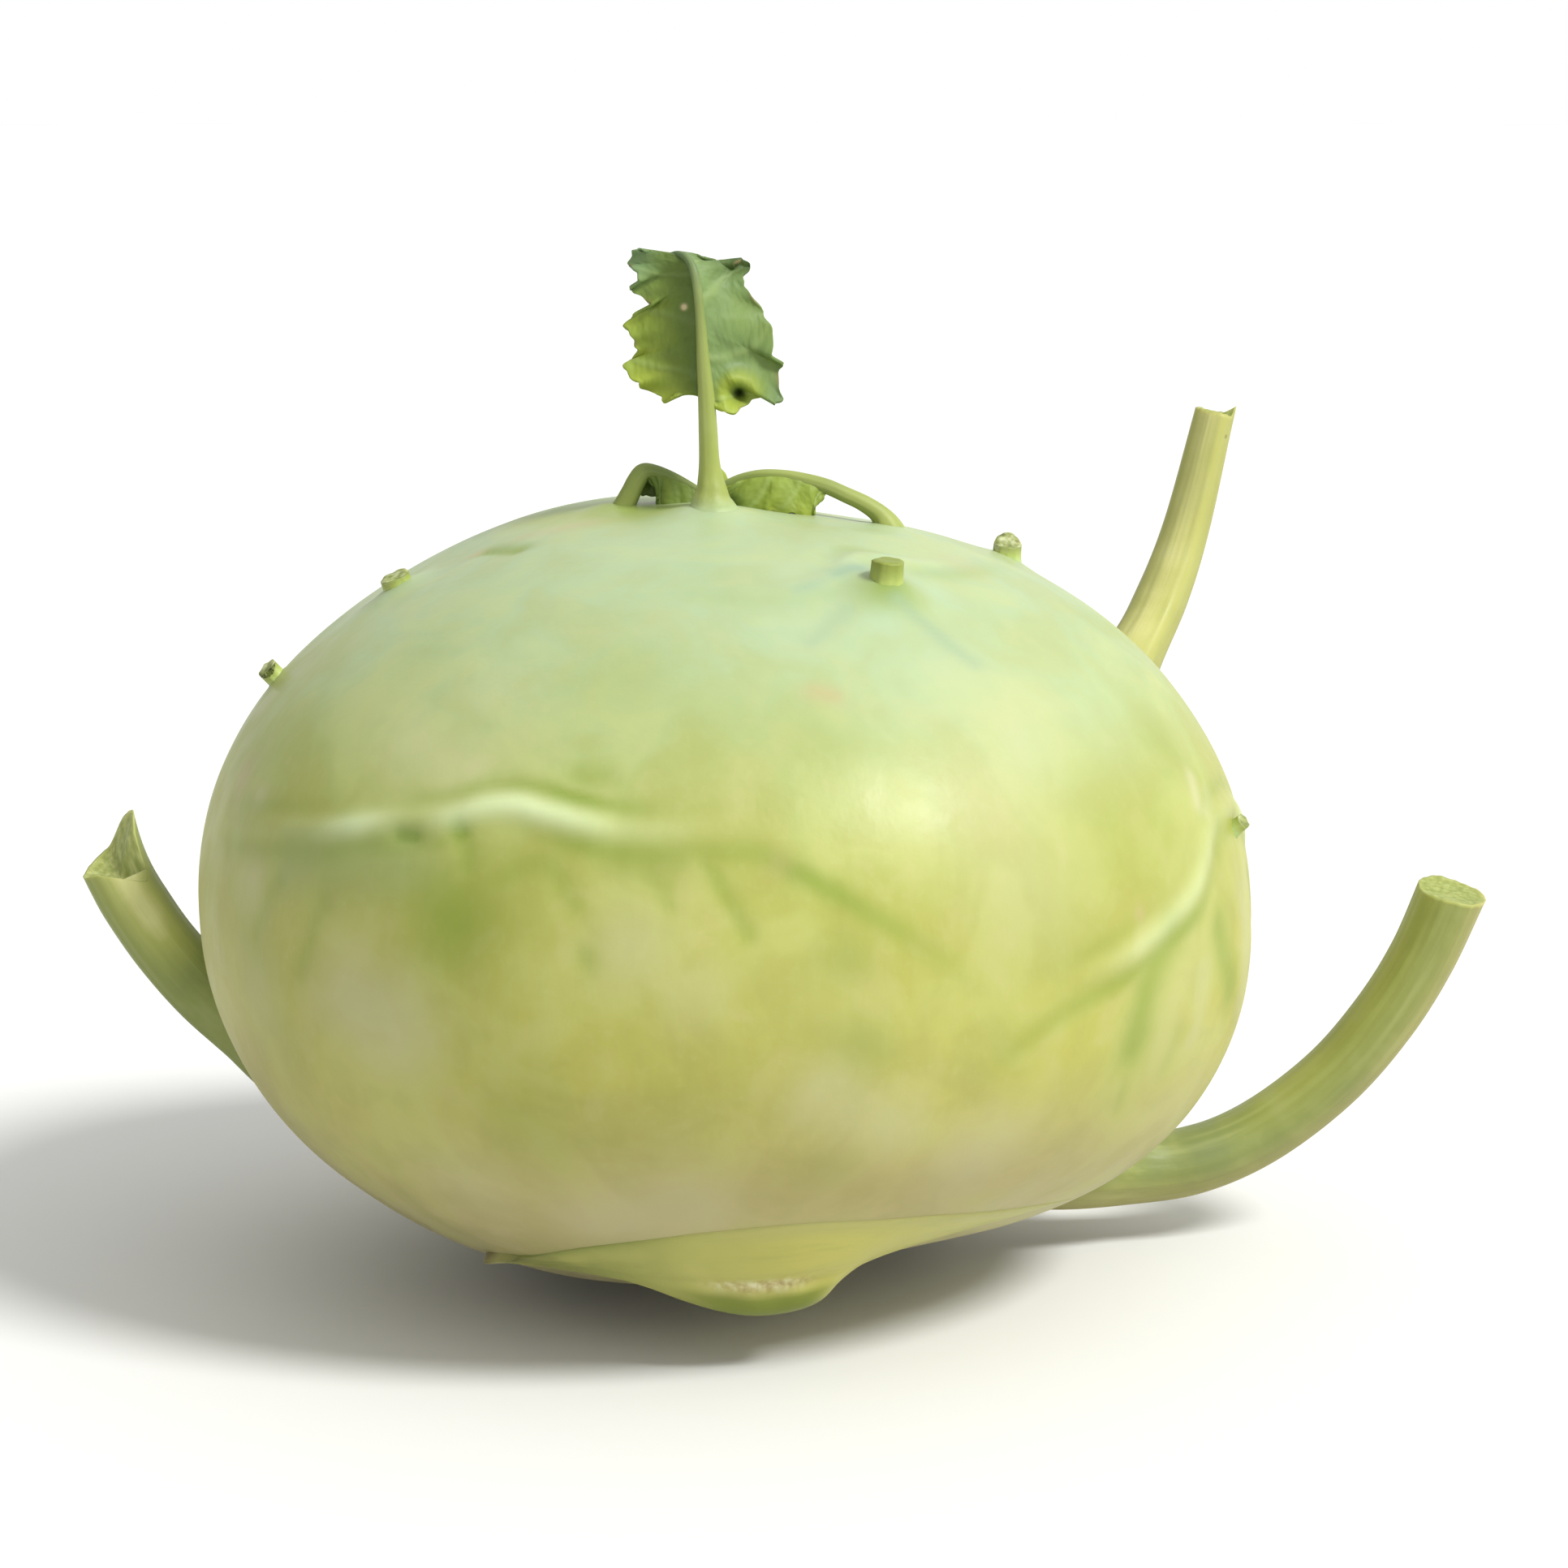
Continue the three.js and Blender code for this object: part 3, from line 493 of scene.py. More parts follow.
def makeBulb():
    bm = bmesh.new()
    bmesh.ops.create_cube(bm, size=2)
    bmesh.ops.subdivide_edges(bm, edges=bm.edges, cuts=bulb["cuts"], use_grid_fill=True)
    ways = unit(np.tan(unitPoints(bm) * math.pi / 4))
    azimuth = np.degrees(np.arctan2(ways[:, 1], ways[:, 0]))
    polar = np.degrees(np.arcsin(np.clip(ways[:, 2], -1, 1)))
    cap = bulb["rootCap"]
    onCut = np.clip((polar + 90) / cap, 0, 1)  # 0 at the middle of the root cut, 1 on its rim
    polar = np.where(onCut < 1, -90, -90 + (polar + 90 - cap) * 180 / (180 - cap))
    points = oval(azimuth, heightAt(polar))
    points = points + outwards(azimuth, polar) * swellAt(points)[:, None]
    strayed = points + markShape["shift"] * np.stack(
        [wander(points, markShape["shiftSize"], seed) for seed in (5, 6, 7)], -1)
    marks = {name: strokesAt(strayed, strokes) for name, strokes in skinMarks.items()}
    lift, marks["paleCrest"], green = browRelief(azimuth, polar)
    lift = lift - markShape["sink"] * marks["greenShade"]
    marks["greenShade"] = np.maximum(marks["greenShade"], green)
    marks["rootCut"] = ease((1 - onCut) / bulb["cutEdge"])
    lift += strokesAt(points, bulb["mounds"])
    for size, rise in bulb["lumps"]:
        lift += rise * wander(points, size, 3)
    settled = ease(points[:, 2] / bulb["settled"])
    points = points + outwards(azimuth, polar) * (lift * settled)[:, None]
    points[:, :2] *= np.where(onCut < 1, onCut, 1)[:, None]
    newPiece("stem_skin", bm, points, marks, skinFinish, "bulb")
    print("stem", len(points), "points")


makeBulb()

# Snapped stalks that are one with the stem: azimuth, height, diameter, length, lean from the skin's normal
# to upright, how far the break slopes down towards -Y, how ragged it is, how much pith it shows, how far its
# foot spreads, and how green it turns by its top.
stubs = {
    "places": [
        (305, 65.4, 2.7, 2.9, 0.7, 0, 0.06, 0, 0.5, 1), (11, 65, 2.5, 1.4, 0.8, 0.85, 0.1, 1, 0.15, 1),
        (190, 64.4, 2.6, 1.5, 0.25, 0.3, 0.2, 0.7, 0.3, 1), (184, 55.7, 1.9, 1.4, 0.1, 0.5, 0.2, 1, 0, 1),
        (347, 42.9, 1.3, 1.1, 0.35, 0.5, 0.3, 0.6, 0.3, 1),
        (103, 43.6, 4, 1.9, 0.3, -0.3, 0.15, 0.8, 0.15, 1), (76, 62, 2.9, 2, 0.4, -0.2, 0.2, 0.8, 0.15, 1),
        (128, 61.5, 2.5, 1.8, 0.4, 0.2, 0.2, 0.8, 0.15, 1),
    ],
    "sides": 40, "steps": 24, "capRings": (0.96, 0.88, 0.7, 0.45, 0.2), "depth": 2.5, "hollow": 0.1,
    "worn": 0.22, "spike": 0.2, "ribs": ((5, 0.03), (11, 0.02)),  # how many ribs, and how high as a share
}


# Snapped green tissue: the skin of a stalk, torn through to a pale wet pith that browns as it dries.
def stubMaterial():
    made, tree, shader = newMaterial("snappedStalkTissue")
    at = (addNode(tree, "TexCoord", {}), "Object")
    height = addNode(tree, "Attribute", {}, attribute_name="height")
    cells = addNode(tree, "TexNoise", {"Vector": at, "Scale": perMetre(0.8), "Detail": 4})
    skinTone = addNode(tree, "ValToRGB", {"Fac": height}, [
        (0, "#a4b873"), (0.35, "#a0ae5a"), (0.7, "#8a9744"), (1, "#75822c")])
    pith = addNode(tree, "ValToRGB", {"Fac": cells}, [
        (0.34, "#5b6332"), (0.48, "#858d51"), (0.64, "#b6bb90")])
    colour = layered(tree, skinTone, [("torn", 0, 1, 1, pith)])
    rough = addNode(tree, "Bump", {"Height": cells, "Strength": 0.4, "Distance": 0.0002})
    setInputs(tree, shader, {
        "IOR": 1.45, "Roughness": 0.5, "Subsurface Weight": 0.1, "Subsurface Scale": 0.002,
        "Base Color": colour, "Normal": rough})
    return made


def makeStubs():
    made = bmesh.new()
    places, torn, height = [], [], []
    for number, place in enumerate(stubs["places"]):
        azimuth, z, diameter, length, lean, slope, ragged, pithy, spread, green = place
        bm = tube(stubs["sides"], stubs["steps"], stubs["capRings"])
        t, spoke, angle = tubePlaces(bm)
        foot = skin(azimuth, z)
        normal = outwards(np.array(azimuth), polarOf(np.array(z)))
        axis = unit(normal * (1 - lean) + np.array((0, 0, 1)) * lean)
        side = unit(np.cross((-foot[1], foot[0], 0), axis))
        front = np.cross(axis, side)
        up = -stubs["depth"] + t * (stubs["depth"] + length)
        flare = 1 + spread * np.exp(-np.maximum(0, up + 0.3) / (0.3 + spread))
        ridged = 1
        for turn, (count, rise) in enumerate(stubs["ribs"]):
            ridged = ridged + rise * np.sin(count * angle + (turn + 1) * number)
        half = diameter / 2 * flare * ridged * spoke
        top = t > 0.999
        spikes = ragged * (np.sin(2 * angle + azimuth) + 0.5 * np.sin(5 * angle + 3 * number))
        sloped = -slope * half * (np.cos(angle) * side[1] + np.sin(angle) * front[1])
        rounded = stubs["hollow"] * (1 - spoke**2) + stubs["worn"] * spoke**8
        broken = stubs["spike"] * diameter * spikes * spoke - sloped - rounded * diameter / 3
        up = up + np.where(top, broken, 0)
        places.append(foot + up[:, None] * axis + (half * np.cos(angle))[:, None] * side
                      + (half * np.sin(angle))[:, None] * front)
        torn.append(np.where(top, pithy * ease((1.04 - spoke) / 0.1), 0))
        height.append(green * np.clip(up / length, 0, 1))
        addTo(made, bm)
    marks = {"torn": np.concatenate(torn), "height": np.concatenate(height)}
    newPiece("snapped_stubs", made, np.concatenate(places), marks, stubMaterial(), "bulb")
    print("stubs", len(stubs["places"]))


makeStubs()

# Leaf stalks. Widths go with the points of a route. A torn end rises by these lengths at these angles round
# the stalk, and curls in. A keel is an edge along the stalk: its angle, height and width. Tones run from
# dark to pale, and painted light makes them paler round the lit angle: its angle, how much, how wide, and
# from where along the stalk. Warm is how tan the stalk is all round, and how much more so underneath.
stalks = {
    "stalk_right": {
        "route": [(17, 2.5, 13.5), (28, 5, 9.2), (37.6, 8, 7.2), (43.8, 9, 7.8), (49.9, 10, 10.4),
                  (56.1, 10, 15.4), (60.7, 9.5, 21.2), (64, 9, 27), (66.6, 8.2, 33.6)],
        "torn": [(0, 0), (45, -0.5), (90, -0.9), (135, -0.5), (180, 0), (270, 0.5)],
        "widths": [15, 11.5, 7.8, 7.1, 6.9, 6.8, 6.8, 6.8, 7], "keels": [], "paintedLight": (92, 0.5, 70, 0.35),
        "warm": (0.15, 0.5), "tones": (0.3, 0.25, 0.15, 0.1, 0.12, 0.18, 0.15), "curl": 0, "ragged": 0.04,
        "pith": 0.5,
    },
    "stalk_left": {
        "route": [(-31, 1, 16), (-39.4, 3, 18.2), (-45, 5.6, 21.2), (-49.5, 7.4, 24.4), (-53.3, 9, 28.2),
                  (-56.2, 10.4, 32), (-57.7, 11, 34.5)],
        "torn": [(0, 0), (25, -1), (45, -1.8), (60, -2.1), (74, -1.2), (86, 1.1), (96, 3.1), (107, 4.3),
                 (121, 4.7), (136, 4.9), (150, 5), (163, 4.9), (176, 4.5), (190, 3.7), (203, 3.1),
                 (225, 2.8), (250, 2.3), (270, 1.8), (295, 1.3), (320, 1), (345, 0.7)],
        "widths": [14, 10, 7.8, 7.2, 7, 7, 6.9], "keels": [], "paintedLight": (30, 0.8, 40, 0.5), "warm": (0.1, 0),
        "tones": (0.35, 0.3, 0.22, 0.3, 0.3), "curl": 0.05, "ragged": 0.03, "pith": 0.8,
    },
    "stalk_back": {
        "route": [(26, 16, 39), (34, 24, 47), (38.7, 30, 53), (41.6, 34, 58), (44.1, 37, 64.5),
                  (46.7, 38, 75.3)],
        "torn": [(0, 0.2), (90, 0), (195, 0), (210, 0.9), (222, 1.1), (236, 0.3), (300, 0.2)],
        "widths": [14, 9, 5.9, 5.3, 4.7, 4], "keels": [(158, 0.1, 18), (40, 0.04, 20)],
        "paintedLight": (112, 0.55, 62, -1), "warm": (0.35, 0), "tones": (0.3, 0.34, 0.4, 0.42), "curl": 0,
        "ragged": 0.04, "pith": 0.5,
    },
}
stalkShape = {
    "flatness": 0.9, "channel": 0.05, "sides": 72, "steps": 150, "capRings": (0.94, 0.82, 0.6, 0.35, 0.15),
    "fibres": 19, "fibreRise": 0.008, "tornShare": 0.05, "dip": 0.35,
}


# Stalk skin: smooth green epidermis over lengthwise fibre strands, with a thin bloom of wax. The strands
# show as long faint stripes, and the cut face as pale wet pith.
def stalkMaterial():
    made, tree, shader = newMaterial("ribbedStalkSkin")
    straight = (addNode(tree, "Attribute", {}, attribute_name="straight"), "Vector")
    tone = (addNode(tree, "Attribute", {}, attribute_name="tone"), "Fac")
    longAt = addNode(tree, "Mapping", {"Vector": straight, "Scale": (1, 1, 0.05)})
    strands, cloud, grain = (
        addNode(tree, "TexNoise", {"Vector": way, "Scale": perMetre(size), "Detail": 3})
        for way, size in ((longAt, 1.3), (straight, 6), (straight, 0.5)))
    specks = addNode(tree, "TexVoronoi", {"Vector": straight, "Scale": perMetre(6.5)})
    near = addNode(tree, "MapRange", {
        "Value": cloud, "From Min": 0.3, "From Max": 0.7, "To Min": -0.08, "To Max": 0.08})
    shifted = addNode(tree, "Math", {0: near, 1: tone}, operation="ADD")
    body = addNode(tree, "ValToRGB", {"Fac": shifted}, [
        (0, "#546a45"), (0.25, "#7a8744"), (0.5, "#919b4f"), (0.75, "#a4ab5a"), (1, "#c9cb88")])
    paler = addNode(tree, "MapRange", {"Value": tone, "From Min": 0.5, "To Max": 0.22})
    wet = addNode(tree, "Math", {0: grain, 1: paler}, operation="ADD")
    pith = addNode(tree, "ValToRGB", {"Fac": wet}, [
        (0.3, "#78823c"), (0.5, "#88914a"), (0.7, "#9ca25f"), (0.9, "#b2b877")])
    colour = layered(tree, body, [
        (strands, 0.52, 0.75, 0.35, "#727f3c"), (strands, 0.48, 0.25, 0.35, "#b3b97c"),
        (cloud, 0.55, 0.75, 0.3, "#97a37c"), ("warm", 0, 1, 1, "#b0a268"),
        (specks, 0.05, 0.035, 0.6, "#5e6334"), ("foot", 0, 1, 1, "#97a97e"), ("cutFace", 0, 1, 1, pith)])
    rough = addNode(tree, "MapRange", {
        "Value": cloud, "From Min": 0.3, "From Max": 0.7, "To Min": 0.44, "To Max": 0.58})
    fine = addNode(tree, "Bump", {"Height": grain, "Strength": 0.15, "Distance": 0.00008})
    lines = addNode(tree, "Bump", {"Height": strands, "Strength": 0.5, "Distance": 0.0002, "Normal": fine})
    setInputs(tree, shader, {
        "IOR": 1.42, "Specular IOR Level": 0.35, "Subsurface Weight": 0.1, "Subsurface Scale": 0.002,
        "Subsurface Radius": (1, 0.8, 0.3), "Base Color": colour, "Roughness": rough, "Normal": lines})
    return made


stalkFinish = stalkMaterial()


def makeStalk(name, spec):
    bm = tube(stalkShape["sides"], stalkShape["steps"], stalkShape["capRings"])
    t, spoke, angle = tubePlaces(bm)
    out = unit(np.array(spec["route"][2]) * (1, 1, 0))
    at, along, across, inner = routeFrame(spec["route"], np.array((-out[1], out[0], 0)), t)
    half = follow(np.array(spec["widths"])[:, None], t)[:, 0] / 2
    ribbed = 1 + stalkShape["fibreRise"] * np.sin(stalkShape["fibres"] * angle + 2 * np.sin(3 * angle))
    for keel, rise, width in spec["keels"]:
        ribbed += rise * bump(turnFrom(np.degrees(angle), keel), width)
    half = half * ribbed * spoke
    channel = stalkShape["channel"] * np.maximum(0, np.sin(angle)) ** 6
    x, y = half * np.cos(angle), half * stalkShape["flatness"] * np.sin(angle) * (1 - channel)
    strip = np.interp(np.degrees(angle), *np.array(spec["torn"]).T, period=360)
    ragged = np.sin(5 * angle + 1) + 0.6 * np.sin(9 * angle) + 0.5 * np.sin(17 * angle + 2)
    ending = np.clip((t - 1 + stalkShape["tornShare"]) / stalkShape["tornShare"], 0, 1)
    end = (strip * spoke + spec["ragged"] * ragged * spoke**2) * ending
    end = end - np.where(t > 0.999, stalkShape["dip"] * (1 - spoke**2), 0)
    y = y + spec["curl"] * np.maximum(0, end) ** 2
    points = at + x[:, None] * across + y[:, None] * inner + end[:, None] * along
    tones = np.interp(t, np.linspace(0, 1, len(spec["tones"])), spec["tones"])
    middle, paler, width, start = spec["paintedLight"]
    # painted light: the tone is paler round the lit angle
    paintedLight = paler * bump(turnFrom(np.degrees(angle), middle), width) * ease((t - start) / 0.25)
    marks = {
        "straight": np.stack([x, y, t * lengthOf(spec["route"], 60)], -1) * mm,
        "tone": np.where(t > 0.999, spec["pith"], tones + paintedLight),
        "foot": 0 * x,
        "warm": spec["warm"][0] + spec["warm"][1] * np.maximum(0, -np.sin(angle)),
        "cutFace": np.where(t > 0.999, ease((1 - spoke) / 0.08), 0),
    }
    newPiece(name + "_skin", bm, points, marks, stalkFinish, name)


for stalkName, stalkSpec in stalks.items():
    makeStalk(stalkName, stalkSpec)
print("stalks", len(stalks))

# The broken leaf base that clasps the front of the stem: its upper edge as azimuth and height on the skin,
# and its lower rim. A line along its face is its height, its place down the face and its width.
clasp = {
    "crease": [(227, 7.8), (240, 9.4), (252, 12), (266, 14.2), (280, 15), (294, 14), (308, 12.4),
               (320, 11.4), (329, 11)],
    "rim": [(-21.8, -24.2, 6.9), (-18, -28.3, 8.1), (-9.1, -33, 8), (-3.5, -33.8, 6.3), (2.3, -33.2, 5),
            (7.4, -32, 5.9), (9.6, -29.6, 7.8), (13.9, -27.4, 9), (20.3, -24, 10), (27, -18, 10.3)],
    "edge": 0.15, "depth": 3, "cuts": (139, 29, 9), "smoothing": 5,
    "lip": (0.28, 0.6),  # where along the rim the torn lip starts and ends
    "bead": (0.8, 0.92, 0.12), "groove": (-0.6, 0.65, 0.08), "ripple": (0.12, 0.76, 0.15), "ripples": 90,
    "swell": 0.35,  # how far the face swells between its edges
    "size": (60, 8, 3),  # about how long, tall and thick it is, which the skin's pattern follows
}


# Leaf base skin: a stalk's thin yellow-green epidermis, stretched and torn. The tear shows white fibres over
# a bead of darker green skin, and its thin end has dried brown. A darker band along the left of its upper
# edge is painted shade in the crease against the stem.
def claspMaterial():
    made, tree, shader = newMaterial("tornLeafBaseSkin")
    flat = (addNode(tree, "Attribute", {}, attribute_name="flat"), "Vector")
    parts = addNode(tree, "SeparateXYZ", {"Vector": flat})
    longAt = addNode(tree, "Mapping", {"Vector": flat, "Scale": (0.12, 1, 1)})
    strands, cloud, grain = (
        addNode(tree, "TexNoise", {"Vector": way, "Scale": perMetre(size), "Detail": detail})
        for way, size, detail in ((longAt, 1, 3), (flat, 7, 3), (flat, 0.7, 4)))
    length = addNode(tree, "MapRange", {"Value": (parts, "X"), "From Max": clasp["size"][0] * mm})
    body = addNode(tree, "ValToRGB", {"Fac": length}, [
        (0.02, "#4f4328"), (0.06, "#6d6f3a"), (0.22, "#8b9049"), (0.5, "#b5b158"), (0.75, "#b4b25c"),
        (1, "#a8ac50")])
    fibres = addNode(tree, "ValToRGB", {"Fac": grain}, [
        (0.35, "#a58f63"), (0.5, "#c5bb88"), (0.65, "#dcd8b4")])
    colour = layered(tree, body, [
        (strands, 0.52, 0.75, 0.3, "#959648"), (cloud, 0.5, 0.7, 0.4, "#bcb868"),
        # edge is painted shade along the upper crease against the stem
        ("edge", 0, 1, 0.7, "#7a8438"), ("blend", 0, 1, 0.9, "#a9a763"), ("lip", 0, 1, 0.95, "#68741f"),
        ("tear", 0, 1, 0.9, fibres)])
    rough = addNode(tree, "MapRange", {
        "Value": cloud, "From Min": 0.3, "From Max": 0.7, "To Min": 0.36, "To Max": 0.5})
    fine = addNode(tree, "Bump", {"Height": grain, "Strength": 0.25, "Distance": 0.0001})
    lines = addNode(tree, "Bump", {"Height": strands, "Strength": 0.5, "Distance": 0.0002, "Normal": fine})
    setInputs(tree, shader, {
        "IOR": 1.45, "Subsurface Weight": 0.12, "Subsurface Scale": 0.002,
        "Subsurface Radius": (1, 0.8, 0.3), "Base Color": colour, "Roughness": rough, "Normal": lines})
    return made


def makeClasp():
    bm = block(clasp["cuts"])
    unitAt = unitPoints(bm)
    s, down, outer = unitAt[:, 0] + 0.5, 0.5 - unitAt[:, 1], unitAt[:, 2] + 0.5
    upper = skin(*np.array(clasp["crease"]).T, clasp["edge"])
    face = follow(upper, s) * (1 - down)[:, None] + follow(clasp["rim"], s) * down[:, None]
    azimuth = np.degrees(np.arctan2(face[:, 1], face[:, 0] - bulb["lean"] * face[:, 2]))
    inside = skin(azimuth, face[:, 2] + down, -clasp["depth"])
    away = unit((face - inside) * (1, 1, 0.2))
    start, stop = clasp["lip"]
    onLip = ease((s - start) / 0.12) * ease((stop - s) / 0.08)
    bead, groove, ripple = (rise * bump(down - at, width) for rise, at, width in (
        clasp["bead"], clasp["groove"], clasp["ripple"]))
    relief = onLip * (bead + groove + ripple * np.sin(clasp["ripples"] * s))
    relief += clasp["swell"] * np.sin(math.pi * down) * np.sin(math.pi * s)
    face = face + away * relief[:, None]
    points = face * outer[:, None] + inside * (1 - outer)[:, None]
    for v, point in zip(bm.verts, points):
        v.co = point
    for _ in range(clasp["smoothing"]):
        bmesh.ops.smooth_vert(
            bm, verts=bm.verts, factor=0.5, use_axis_x=True, use_axis_y=True, use_axis_z=True)
    bmesh.ops.recalc_face_normals(bm, faces=bm.faces)
    rim = ease((outer - 0.5) / 0.4)
    torn = bump(down - 0.66, 0.06) * ease((s - start - 0.06) / 0.1) * ease((stop - 0.05 - s) / 0.08)
    marks = {
        "flat": np.stack([s, down, outer], -1) * clasp["size"] * mm,
        "lip": onLip * rim * ease((down - 0.7) / 0.12),
        "tear": onLip * rim * torn,
        # painted shade in the crease where the upper edge meets the stem, on its left part
        "edge": rim * bump(down, 0.1) * ease((0.45 - s) / 0.2),
        "blend": rim * bump(down, 0.14) * ease((s - 0.3) / 0.2),
    }
    newPiece("leaf_base_skin", bm, unitPoints(bm), marks, claspMaterial(), "leaf_base_front")
    print("leaf base done")


makeClasp()
